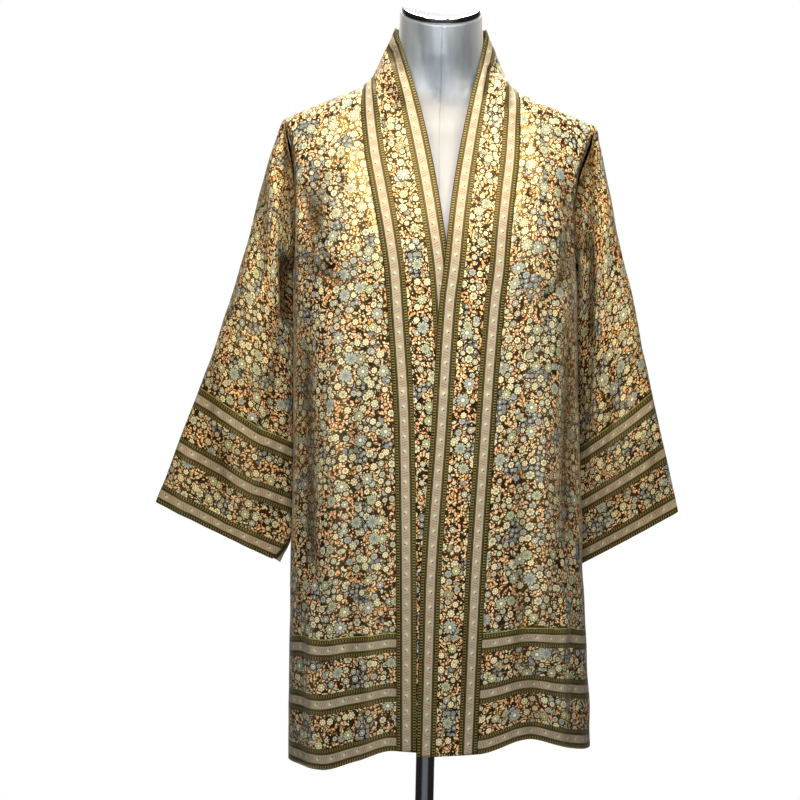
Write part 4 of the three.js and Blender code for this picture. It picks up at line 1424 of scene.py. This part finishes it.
def border_stripe(inks: PrintInks, sizes: StripeSizes) -> Group:
    """One border stripe: two dark guards with lines and a ladder, and a beige strip between.

    Args:
        inks: The colours.
        sizes: The stripe's make-up.

    Returns:
        The group, from across and along in millimetres to the colour.
    """
    g = Group("border stripe", {"Across": 0.0, "Along": 0.0}, {"Color": "Color"})
    across, along = g.start["Across"], g.start["Along"]
    middle = g.minus(across, sizes.total / 2)
    from_edge = g.minus(sizes.total / 2, g.math("ABSOLUTE", middle))
    lines = g.within(from_edge, *sizes.outer_line, 0.2)
    for line in (sizes.inner_line, sizes.ladder_line):
        lines = g.math("MAXIMUM", lines, g.within(from_edge, *line, 0.2))
    rung = g.within(g.math("PINGPONG", along, sizes.rung_spacing / 2), 0.0, sizes.rung_half, 0.2)
    ladder = g.times(g.within(from_edge, *sizes.ladder, 0.25), rung)
    marks = g.math("MAXIMUM", g.times(lines, sizes.line_strength), ladder)
    guard = g.mix(g.times(marks, sizes.mark_strength), tint(inks.guard), tint(inks.guard_line))
    slanted = g.times_plus(middle, sizes.bar_slant, along)
    bar_wave = g.math("SINE", g.times(slanted, 2 * math.pi / sizes.bar_spacing))
    spell = g.math("SINE", g.times(along, 2 * math.pi / sizes.flowers))
    bars = g.times(g.step(bar_wave, -0.1, 0.6), g.step(spell, -0.1, 0.5))
    bars = g.times(bars, g.within(middle, -sizes.bar_reach, sizes.bar_reach, 0.5))
    silvery = g.noise(g.join(across, along), 9.0)
    beige = g.mix(g.times(silvery, 0.4), tint(inks.beige), tint(inks.dot))
    beige = g.mix(g.times(bars, sizes.bar_strength), beige, tint(inks.pinkish))
    dot_along = g.minus(g.math("FLOORED_MODULO", along, sizes.flowers), sizes.flowers * 0.75)
    from_dot = g.vector("LENGTH", g.join(middle, dot_along))
    beige = g.mix(g.step(from_dot, *sizes.dot), beige, tint(inks.dot))
    speck = g.join(g.minus(middle, sizes.speck_across), g.plus(dot_along, sizes.speck_along))
    beige = g.mix(g.step(g.vector("LENGTH", speck), *sizes.speck), beige, tint(inks.speck))
    is_guard = g.step(from_edge, sizes.guard + 0.3, sizes.guard - 0.3)
    g.put(g.end["Color"], g.mix(is_guard, beige, guard))
    return g


def bordered_print(inks: PrintInks, sizes: StripeSizes, floral: Group, stripe: Group) -> Group:
    """The printed cloth: stripes repeat from the edge up to the border's depth, then floral.

    Args:
        inks: The colours.
        sizes: The stripe's make-up.
        floral: The small floral group.
        stripe: The border stripe group.

    Returns:
        The group. Its point is (along the edge, away from the edge) in millimetres.
    """
    takes = {"Point": ORIGIN, "Repeat": 69.2, "Depth": 165.0, "Top line": 1.0}
    g = Group("bordered print", takes, {"Color": "Color"})
    flat = g.split(g.start["Point"])
    along, away = flat[0], flat[1]
    inside = g.math("FLOORED_MODULO", away, g.start["Repeat"])
    band = stripe.place(g, Across=inside, Along=along)
    in_border = g.step(g.minus(g.start["Depth"], away), -sizes.soft, sizes.soft)
    on_stripe = g.times(g.step(inside, sizes.total + sizes.soft, sizes.total - sizes.soft), in_border)
    colour = floral.place(g, Point=g.start["Point"])["Color"]
    over = g.minus(away, g.start["Depth"])
    patches = g.step(g.noise(g.start["Point"], sizes.bare_patch, 1.0), *sizes.bare_limit)
    bare = g.times(g.within(over, *sizes.bare_strip, 1.5), patches)
    bare = g.times(bare, g.start["Top line"])
    colour = g.mix(bare, colour, tint(inks.ground))
    line = g.times(g.within(over, *sizes.end_line, 0.3), g.start["Top line"])
    colour = g.mix(line, colour, tint(inks.border_end))
    g.put(g.end["Color"], g.mix(on_stripe, colour, band["Color"]))
    return g


@dataclass(frozen=True)
class Weave:
    """A satin's fine ribs, soft unevenness and streaks, in millimetres."""

    ribs: Pair = (0.55, 0.4)
    rib_rise: float = 0.003
    soft_patch: float = 16.0
    soft_rise: float = 0.4
    streak: Triple = (0.35, 2.2, 1.0)
    streak_patch: float = 9.0
    roughness: Pair = (0.14, 0.3)


def woven_silk(weave: Weave) -> Group:
    """Satin ground, as a height in millimetres and a roughness.

    Args:
        weave: Its sizes.

    Returns:
        The group.
    """
    g = Group("woven silk", {"Point": ORIGIN}, {"Height": "Float", "Roughness": "Float"})
    flat, point = g.split(g.start["Point"]), g.start["Point"]
    rib_x, rib_y = (g.math("SINE", g.times(flat[k], 2 * math.pi / weave.ribs[k])) for k in (0, 1))
    ribs = g.times(g.plus(rib_x, rib_y), weave.rib_rise)
    soft = g.times(g.noise(point, weave.soft_patch, 2.0), weave.soft_rise)
    streak = g.noise(g.vector("MULTIPLY", point, weave.streak), weave.streak_patch, 2.0)
    g.put(g.end["Height"], g.plus(ribs, soft))
    g.put(g.end["Roughness"], g.times_plus(streak, *weave.roughness))
    return g


@dataclass(frozen=True)
class SilkFinish:
    """Printed satin silk, right side or reverse; tone darkens and warms the colour as painted shade, and
    folds get painted shade and ridges a painted highlight.
    """

    name: str
    repeat: float
    depth: float
    top_line: float
    turned: bool = False
    reverse: bool = False
    gloss: float = 0.8
    matt: float = -0.05
    # tone: painted shade that multiplies the colour darker and warmer
    tone: Colour = WHITE
    faded: float = 0.45
    faded_ink: str = "#8d7d64"
    # fold_free and painted_fold_shade_colour set the painted shade in folds;
    # painted_ridge_highlight_strength and painted_ridge_highlight_colour set the painted highlight on ridges
    fold_free: float = 0.1
    painted_fold_shade_colour: Colour = (0.16, 0.13, 0.11, 1.0)
    fold_matt: float = 0.45
    painted_ridge_highlight_strength: float = 0.08
    painted_ridge_highlight_colour: str = "#d9c79a"
    highlight: str = "#ffd68c"
    sheen: float = 0.03
    sheen_roughness: float = 0.4

    def build(self, printed: Group, woven: Group) -> bpy.types.Material:
        """The material, on the piece's own cloth map.

        Args:
            printed: The bordered print group.
            woven: The woven silk group.

        Returns:
            The material.
        """
        material = bpy.data.materials.new(self.name)
        g = emptied(material)
        point = g.vector("MULTIPLY", g.node("ShaderNodeUVMap", uv_map="cloth").outputs[0], PER_METRE)
        if self.turned:
            flat = g.split(point)
            point = g.join(flat[1], flat[0])
        border = {"Repeat": self.repeat, "Depth": self.depth, "Top_line": self.top_line}
        colour = printed.place(g, Point=point, **border)["Color"]
        if self.reverse:
            colour = g.mix(self.faded, colour, tint(self.faded_ink))
        # painted shade: tone darkens and warms the whole piece
        if self.tone != WHITE:
            colour = g.mix(1.0, colour, self.tone, "MULTIPLY")
        # painted shade: the colour is darkened in folds by the fold_shade attribute
        fold = g.node("ShaderNodeAttribute", attribute_name="fold_shade").outputs["Fac"]
        deep = g.math("MAXIMUM", g.minus(fold, self.fold_free), 0.0)
        colour = g.mix(deep, colour, self.painted_fold_shade_colour, "MULTIPLY")
        # painted highlight: the colour is lightened toward pale gold on ridges
        ridge = g.math("MAXIMUM", g.times(fold, -1.0), 0.0)
        colour = g.mix(g.times(ridge, self.painted_ridge_highlight_strength), colour, tint(self.painted_ridge_highlight_colour))
        grain = woven.place(g, Point=point)
        shader = g.node("ShaderNodeBsdfPrincipled")
        finish = {
            "Base Color": colour,
            "Roughness": g.plus(self.matt, g.times_plus(deep, self.fold_matt, grain["Roughness"])),
            "Normal": g.bump(grain["Height"], 0.5),
            "Specular IOR Level": self.gloss,
            "Specular Tint": tint(self.highlight),
            "Sheen Weight": self.sheen,
            "Sheen Roughness": self.sheen_roughness,
        }
        g.fill(shader, finish)
        g.finish("Material", shader.outputs[0])
        return material


@dataclass(frozen=True)
class PlainFinish:
    """A finish without a print: one or two colours, uneven, with fine relief."""

    name: str
    first: str
    second: str
    patch: float
    roughness: float
    rough_spread: float = 0.08
    metallic: float = 0.0
    relief: float = 0.0
    sheen: float = 0.0

    def start(self) -> tuple[bpy.types.Material, Graph, bpy.types.Node, Socket]:
        """The material's tree with its shader, on object coordinates in millimetres.

        Returns:
            The material, its graph, its shader and the point.
        """
        material = bpy.data.materials.new(self.name)
        g = emptied(material)
        point = g.vector("MULTIPLY", g.node("ShaderNodeTexCoord").outputs["Object"], PER_METRE)
        shader = g.node("ShaderNodeBsdfPrincipled")
        g.finish("Material", shader.outputs[0])
        return material, g, shader, point

    def build(self) -> bpy.types.Material:
        """The material."""
        material, g, shader, point = self.start()
        uneven = g.noise(point, self.patch, 3.0)
        finish = {
            "Base Color": g.mix(uneven, tint(self.first), tint(self.second)),
            "Roughness": g.times_plus(uneven, self.rough_spread, self.roughness - self.rough_spread / 2),
            "Metallic": self.metallic,
            "Sheen Weight": self.sheen,
        }
        if self.relief:
            finish["Normal"] = g.bump(g.noise(point, 1.0, 2.0), 0.4, self.relief * MM)
        g.fill(shader, finish)
        return material


@dataclass(frozen=True)
class FormCoverFinish(PlainFinish):
    """The form's satin cover, with seams: the darker blue-grey neck with light streaks and the lighter chest
    are partly the cover's silver-grey and partly painted shade, painted reflection and painted highlight
    streaks.
    """

    # chest: the silver-grey cover made lighter by painted light
    chest: str = "#80838b"
    seam_thread: str = "#5d6670"
    turn_level: float = 1408.0
    turn_soft: float = 18.0
    ragged: float = 90.0
    seam_half: float = 0.7
    rib_spacing: float = 1.1
    rib_rise: float = 0.05
    streak: Triple = (1.0, 1.0, 0.25)
    painted_streak_limit: Pair = (0.3, 0.75)
    turn_patch: float = 22.0
    pucker_half: float = 7.0
    pucker_patch: float = 5.0
    seam_depth: float = 0.8
    seam_strength: float = 0.3

    def build(self) -> bpy.types.Material:
        """The material: the colour turns at a ragged level from the lighter chest to the neck's painted
        shade and highlight streaks, and seams run down front and back.
        """
        material, g, shader, point = self.start()
        flat = g.split(point)
        # painted highlight: light vertical streaks over the neck's painted shade
        uneven = g.noise(g.vector("MULTIPLY", point, self.streak), self.patch, 3.0)
        neck = g.mix(g.step(uneven, *self.painted_streak_limit), tint(self.first), tint(self.second))
        wander = g.times_plus(g.noise(point, self.turn_patch, 3.0), self.ragged, -self.ragged / 2)
        level = g.plus(flat[2], wander)
        up = g.step(level, self.turn_level - self.turn_soft, self.turn_level + self.turn_soft)
        from_seam = g.math("ABSOLUTE", flat[0])
        seam = g.step(from_seam, self.seam_half * 1.6, self.seam_half * 0.4)
        rib = g.times(g.math("SINE", g.times(flat[2], 2 * math.pi / self.rib_spacing)), self.rib_rise)
        pucker = g.times(g.step(from_seam, self.pucker_half, 0.0), g.noise(point, self.pucker_patch, 2.0))
        height = g.minus(g.plus(rib, pucker), g.times(seam, self.seam_depth))
        # the neck takes the painted shade and streaks, and the chest the lighter painted colour
        cover = g.mix(up, tint(self.chest), neck)
        finish = {
            "Base Color": g.mix(g.times(seam, self.seam_strength), cover, tint(self.seam_thread)),
            "Roughness": g.times_plus(uneven, self.rough_spread, self.roughness),
            "Metallic": g.times(up, self.metallic),
            "Sheen Weight": self.sheen,
            "Normal": g.bump(height, 0.5),
        }
        g.fill(shader, finish)
        return material


@dataclass
class Wardrobe:
    """All materials of the object, built once."""

    inks: PrintInks = PrintInks()
    flowers: FloralSizes = FloralSizes()
    stripe: StripeSizes = StripeSizes()
    body_border: Triple = (69.2, BORDER_DEPTH, 1.0)
    band_border: Triple = (57.6, 84.5, 0.0)
    # painted shade that makes the sleeves darker and warmer than the body
    sleeve_painted_shade_tint: Colour = (0.9, 0.84, 0.74, 1.0)

    def __post_init__(self) -> None:
        """Builds the groups and the materials."""
        floral = small_floral(self.inks, self.flowers, flower_heads(), leaf_sprays())
        stripe = border_stripe(self.inks, self.stripe)
        groups = (bordered_print(self.inks, self.stripe, floral, stripe), woven_silk(Weave()))
        body, band = self.body_border, self.band_border
        self.silk = SilkFinish("printed silk", *body).build(*groups)
        # the sleeves' silk is a copy with painted shade and less gloss
        self.sleeve_silk_painted_shade = SilkFinish(
            "printed sleeve silk with painted shade", *body, gloss=0.32, matt=0.08, tone=self.sleeve_painted_shade_tint
        ).build(*groups)
        self.silk_reverse = SilkFinish("printed silk reverse", *body, reverse=True).build(*groups)
        self.band = SilkFinish("banded silk", *band, turned=True, gloss=0.22, matt=0.06).build(*groups)
        self.band_reverse = SilkFinish(
            "banded silk reverse", *band, turned=True, reverse=True
        ).build(*groups)
        self.facing = PlainFinish(
            "facing silk", "#8f7f62", "#a8977a", 12.0, 0.45, sheen=0.3, relief=0.2
        ).build()
        # the two neck colours are painted shade and painted highlight streaks on the silver-grey cover
        self.cover = FormCoverFinish(
            "form cover", "#535f70", "#828fa1", 34.0, 0.34, rough_spread=0.2, metallic=0.45, sheen=0.5
        ).build()
        self.chrome = PlainFinish(
            "polished chrome", "#c9cbcf", "#dfe1e4", 60.0, 0.08, rough_spread=0.05, metallic=1.0
        ).build()


# ---------------------------------------------------------------- form and stand


@dataclass
class DressForm:
    """The limbless form, with its slanted neck cap, pole and base plate."""

    rows: int = 240
    turns: int = 160
    cap_slant: float = 27.0
    neck_lean: float = -6.0
    neck_top: float = 1525.5
    cap_half: float = 53.5
    cap_thickness: float = 9.0
    pole_radius: float = 12.5
    pole_fit: float = 0.3
    bore_depth: float = 90.0
    base_radius: float = 150.0
    base_thickness: float = 8.0
    hub_radius: float = 22.0
    hub_height: float = 32.0
    socket_floor: float = 4.0
    foot: float = 760.0
    cap_gap: float = 0.3
    cap_round: float = 2.5
    pole_round: float = 1.0
    base_round: float = 2.0
    under_shares: tuple[float, ...] = (0.5, 0.97)
    top_shares: tuple[float, ...] = (0.03, 0.5, 0.999)
    sections: Rows = Rows(
        "z half front back slant",
        [
            (760, 166, 104, 110, 0), (775, 170, 107, 113, 0), (850, 172, 108, 112, 0),
            (950, 150, 97, 95, 0), (1045, 128, 86, 74, 0), (1130, 146, 106, 86, 0),
            (1190, 156, 118, 99, 0), (1235, 158, 112, 101, 0), (1290, 166, 92, 92, 0),
            (1335, 178, 72, 76, 0), (1362, 184, 58, 64, 0), (1378, 182, 54, 58, 0),
            (1392, 158, 53, 54, 0), (1405, 122, 54, 53, 0), (1418, 92, 55, 53, 0.05),
            (1434, 71, 56.5, 52, 0.15), (1455, 61, 58.5, 50.5, 0.35), (1480, 57.5, 60.5, 50, 0.65),
            (1531, 56, 62, 50, 1),
        ],
    )

    def loop(self, half: Array, front: Array, back: Array, z: Array, slant: Array) -> Array:
        """Level loops: half ellipses in front and behind, tilted by a share of the cap's slant."""
        turn = np.linspace(0, 2 * math.pi, self.turns, endpoint=False)[None, :]
        depth = np.where(np.sin(turn) < 0, front, back)
        y = depth * np.sin(turn)
        tilt = slant * math.tan(math.radians(self.cap_slant)) * (y - self.neck_lean)
        return np.stack([half * np.cos(turn), y, z + tilt], axis=-1)

    def torso(self) -> Grid:
        """The form's skin, from the top of the pole's bore out and up to the closed neck.

        Returns:
            The grid of closed loops.
        """
        z = np.linspace(self.foot, self.neck_top, self.rows)[:, None]
        half, front, back = (self.sections.at(name, z) for name in ("half", "front", "back"))
        skin = self.loop(half, front, back, z, self.sections.at("slant", z))
        bore, roof = self.pole_radius + self.pole_fit, self.foot + self.bore_depth
        corners = ((AXIS, roof), (bore, roof), (bore, self.foot))
        inner = [self.loop(r, r, r, np.array([[h]]), 0.0) for r, h in corners]
        under = [blend(inner[2], skin[:1], share) for share in self.under_shares]
        middle = skin[-1:].mean(axis=1, keepdims=True)
        top = [blend(skin[-1:], middle, share) for share in self.top_shares]
        return Grid(np.concatenate([*inner, *under, skin, *top], axis=0))

    def cap(self) -> Grid:
        """The polished cap, turned flat and then laid on the neck's slanted end."""
        top, half = self.cap_thickness, self.cap_half
        profile = [(AXIS, 0), (half, 0), (half, top), (half * 0.5, top), (AXIS, top)]
        p = turned(rounded(profile, self.cap_round), self.turns).points
        slant = math.radians(self.cap_slant)
        x, y, z = p[..., 0], p[..., 1] / math.cos(slant), p[..., 2] + self.cap_gap
        y_out = y * math.cos(slant) - z * math.sin(slant) + self.neck_lean
        z_out = y * math.sin(slant) + z * math.cos(slant) + self.neck_top
        return Grid(np.stack([x, y_out, z_out], axis=-1))

    def pole(self) -> Grid:
        """The pole, from the base's socket up into the form."""
        bottom = self.socket_floor + self.pole_fit
        top = self.foot + self.bore_depth - self.pole_fit
        r = self.pole_radius
        profile = [(AXIS, bottom), (r, bottom), (r, top), (AXIS, top)]
        return turned(rounded(profile, self.pole_round), self.turns)

    def base(self) -> Grid:
        """The round base plate with its hub and socket."""
        socket, floor = self.pole_radius + self.pole_fit, self.socket_floor
        plate, hub = self.base_thickness, self.hub_height
        profile = [(AXIS, 0), (self.base_radius, 0), (self.base_radius, plate), (self.hub_radius, plate)]
        profile += [(self.hub_radius, hub), (socket, hub), (socket, floor), (AXIS, floor)]
        return turned(rounded(profile, self.base_round), self.turns)

    def build(self, wardrobe: Wardrobe) -> None:
        """Makes the form's skin, the cap, the pole and the base plate.

        Args:
            wardrobe: The materials.
        """
        parts = (
            ("form_cover", "form_torso", self.torso(), wardrobe.cover, "form_cover"),
            ("neck_cap", "form_neck_cap", self.cap(), wardrobe.chrome, "chrome"),
            ("pole", "stand_pole", self.pole(), wardrobe.chrome, "chrome"),
            ("base_plate", "stand_base", self.base(), wardrobe.chrome, "chrome"),
        )
        for name, node, grid, material, slot in parts:
            piece = place(name, grid.mesh(name, closed=True, poles=True), [material])
            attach(piece, "root")
            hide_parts(node)
            LOG.info("%s: %d faces", name, len(piece.data.polygons))


@dataclass
class CuffFacing:
    """The plain strip turned under the back edge of the right sleeve's slit."""

    name: str = "cuff_slit_facing"
    width: float = 8.0
    under: float = 1.6
    wall: float = 0.6
    slit_share: float = 0.82

    def build(self, sleeves: Sleeves, wardrobe: Wardrobe) -> None:
        """Makes the strip from the sleeve's own edge, a little inside it.

        Args:
            sleeves: The sleeves whose edge it follows.
            wardrobe: The materials.
        """
        grid = sleeves.grid(Side.RIGHT)
        up = run_lengths(grid.points, 0)[:, 0]
        rows = int(np.searchsorted(up, SHAPE.slit_length * self.slit_share))
        edge = grid.moved(np.full(grid.points.shape[:2], -self.under)).points[:rows]
        last = int(np.searchsorted(run_lengths(edge, 1)[0], self.width)) + 1
        points = edge[:, : last + 1]
        across, along = run_lengths(points, 1), run_lengths(points, 0)
        strip = Grid(points, np.stack([across, along], axis=-1))
        piece = place(self.name, strip.mesh(self.name), [wardrobe.facing])
        give_wall(piece, self.wall, 0)
        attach(piece, "root")
        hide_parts("right_cuff_slit_facing")


# ---------------------------------------------------------------- studio


@dataclass(frozen=True)
class Lamp:
    """One soft square lamp. Its size is a side in metres and its beam an angle in degrees."""

    name: str
    spot: Triple
    aim: Triple
    size: float
    watts: float
    colour: Triple
    beam: float = 180.0

    def hang(self) -> None:
        """Puts the lamp in the scene, turned so that its -Z axis points at its aim."""
        data = bpy.data.lights.new(self.name, "AREA")
        data.spread = math.radians(self.beam)
        data.size = self.size
        data.energy = self.watts
        data.color = self.colour
        lamp = bpy.data.objects.new(self.name, data)
        lamp.location = self.spot
        way = np.array(self.aim) - np.array(self.spot)
        flat = math.hypot(way[0], way[1])
        lamp.rotation_euler = (math.atan2(flat, -way[2]), 0.0, math.atan2(way[0], -way[1]) + math.pi)
        bpy.context.scene.collection.objects.link(lamp)


KEY_COLOUR = (1.0, 0.83, 0.56)
LAMPS = (
    Lamp("key lamp left", (0.6, -0.85, 2.22), (0.09, -0.05, 1.41), 0.5, 2.7, KEY_COLOUR, 60.0),
    Lamp("key lamp right", (-0.6, -0.85, 2.22), (-0.09, -0.05, 1.41), 0.5, 2.1, KEY_COLOUR, 60.0),
    Lamp("fill lamp", (-0.1, -1.45, 2.15), (0.0, 0.0, 1.02), 0.7, 12.0, (1.0, 0.94, 0.83), 90.0),
    Lamp("top lamp", (0.0, 0.3, 2.5), (0.0, 0.0, 1.35), 0.8, 27.0, (1.0, 0.92, 0.74)),
    Lamp("back lamp", (0.3, 1.8, 2.4), (0.0, 0.0, 1.1), 1.2, 32.0, (1.0, 0.96, 0.9)),
)


@dataclass
class Studio:
    """Floor, surround, lamps and camera."""

    distance: float = 2.6
    axis_x: float = -0.0446
    axis_z: float = 1.003
    view_width: float = 1.08
    roll: float = 1.25
    sensor: float = 36.0
    floor_radius: float = 1.9
    floor_drop: float = -0.4
    floor_rings: int = 24
    floor_turns: int = 96
    room: Colour = (0.17, 0.175, 0.19, 1.0)
    room_sides: Colour = (0.02, 0.018, 0.016, 1.0)
    skylight: Colour = (1.1, 1.08, 1.04, 1.0)
    skylight_way: Triple = (0.0, 0.745, 0.668)
    side_limit: Pair = (0.35, 0.75)
    skylight_limit: Pair = (0.82, 0.93)
    floor_fade: Pair = (0.3, 0.95)
    floor_tones: tuple[str, str] = ("#e9e8e6", "#efeeec")
    floor_patch: float = 0.02
    floor_roughness: float = 0.7

    def floor(self) -> None:
        """A round pale floor that fades into the white surround at its edge."""
        rings = np.linspace(self.floor_radius, 0.001, self.floor_rings) / MM
        grid = turned(np.stack([rings, np.full_like(rings, self.floor_drop)], axis=1), self.floor_turns)
        material = bpy.data.materials.new("pale floor")
        g = emptied(material)
        where = g.node("ShaderNodeTexCoord").outputs["Object"]
        shader = g.node("ShaderNodeBsdfPrincipled")
        first, second = (tint(tone) for tone in self.floor_tones)
        pale = g.mix(g.noise(where, self.floor_patch, 3.0), first, second)
        g.fill(shader, {"Base Color": pale, "Roughness": self.floor_roughness})
        glow = g.node("ShaderNodeEmission")
        g.fill(glow, {"Color": WHITE, "Strength": g.node("ShaderNodeLightPath").outputs["Is Camera Ray"]})
        both = g.node("ShaderNodeMixShader")
        edge = g.step(g.vector("LENGTH", where), *(self.floor_radius * share for share in self.floor_fade))
        for socket, value in zip(both.inputs, (edge, shader.outputs[0], glow.outputs[0])):
            g.put(socket, value)
        g.finish("Material", both.outputs[0])
        place("floor", grid.mesh("floor", closed=True), [material])

    def surround(self) -> None:
        """A white surround; gloss sees a dim room with darker sides and a skylight behind."""
        world = bpy.data.worlds.new("studio surround")
        bpy.context.scene.world = world
        g = emptied(world)
        way = g.node("ShaderNodeTexCoord").outputs["Generated"]
        sideways = g.math("ABSOLUTE", g.split(way)[0])
        room = g.mix(g.step(sideways, *self.side_limit), self.room, self.room_sides)
        overhead = g.vector("DOT_PRODUCT", way, self.skylight_way)
        room = g.mix(g.step(overhead, *self.skylight_limit), room, self.skylight)
        seen = g.node("ShaderNodeLightPath").outputs["Is Camera Ray"]
        back = g.node("ShaderNodeBackground")
        g.put(back.inputs["Color"], g.mix(seen, room, WHITE))
        g.finish("World", back.outputs[0])

    def camera(self) -> None:
        """A level camera in front, a little to the wearer's right, rolled slightly."""
        data = bpy.data.cameras.new("camera")
        data.sensor_width = self.sensor
        data.lens = self.sensor * self.distance / self.view_width
        data.clip_end = 50.0
        camera = bpy.data.objects.new("camera", data)
        camera.location = (self.axis_x, -self.distance, self.axis_z)
        camera.rotation_euler = (math.pi / 2, -math.radians(self.roll), 0.0)
        bpy.context.scene.collection.objects.link(camera)
        bpy.context.scene.camera = camera

    def build(self) -> None:
        """Sets up the studio."""
        self.floor()
        self.surround()
        for lamp in LAMPS:
            lamp.hang()
        self.camera()
        bpy.context.scene.view_settings.view_transform = "Standard"


def main() -> None:
    """Builds the jacket, the form, the stand and the studio in order."""
    logging.basicConfig(level=logging.INFO, format="%(name)s: %(message)s")
    wardrobe = Wardrobe()
    sleeves = Sleeves()
    DressForm().build(wardrobe)
    for piece in JacketBody().pieces():
        piece.build(wardrobe.silk, wardrobe.silk_reverse)
    for piece in sleeves.pieces():
        piece.build(wardrobe.sleeve_silk_painted_shade, wardrobe.silk_reverse)
    for piece in NeckBands().pieces():
        piece.build(wardrobe.band, wardrobe.band_reverse)
    CuffFacing().build(sleeves, wardrobe)
    Studio().build()


if __name__ == "__main__":
    main()
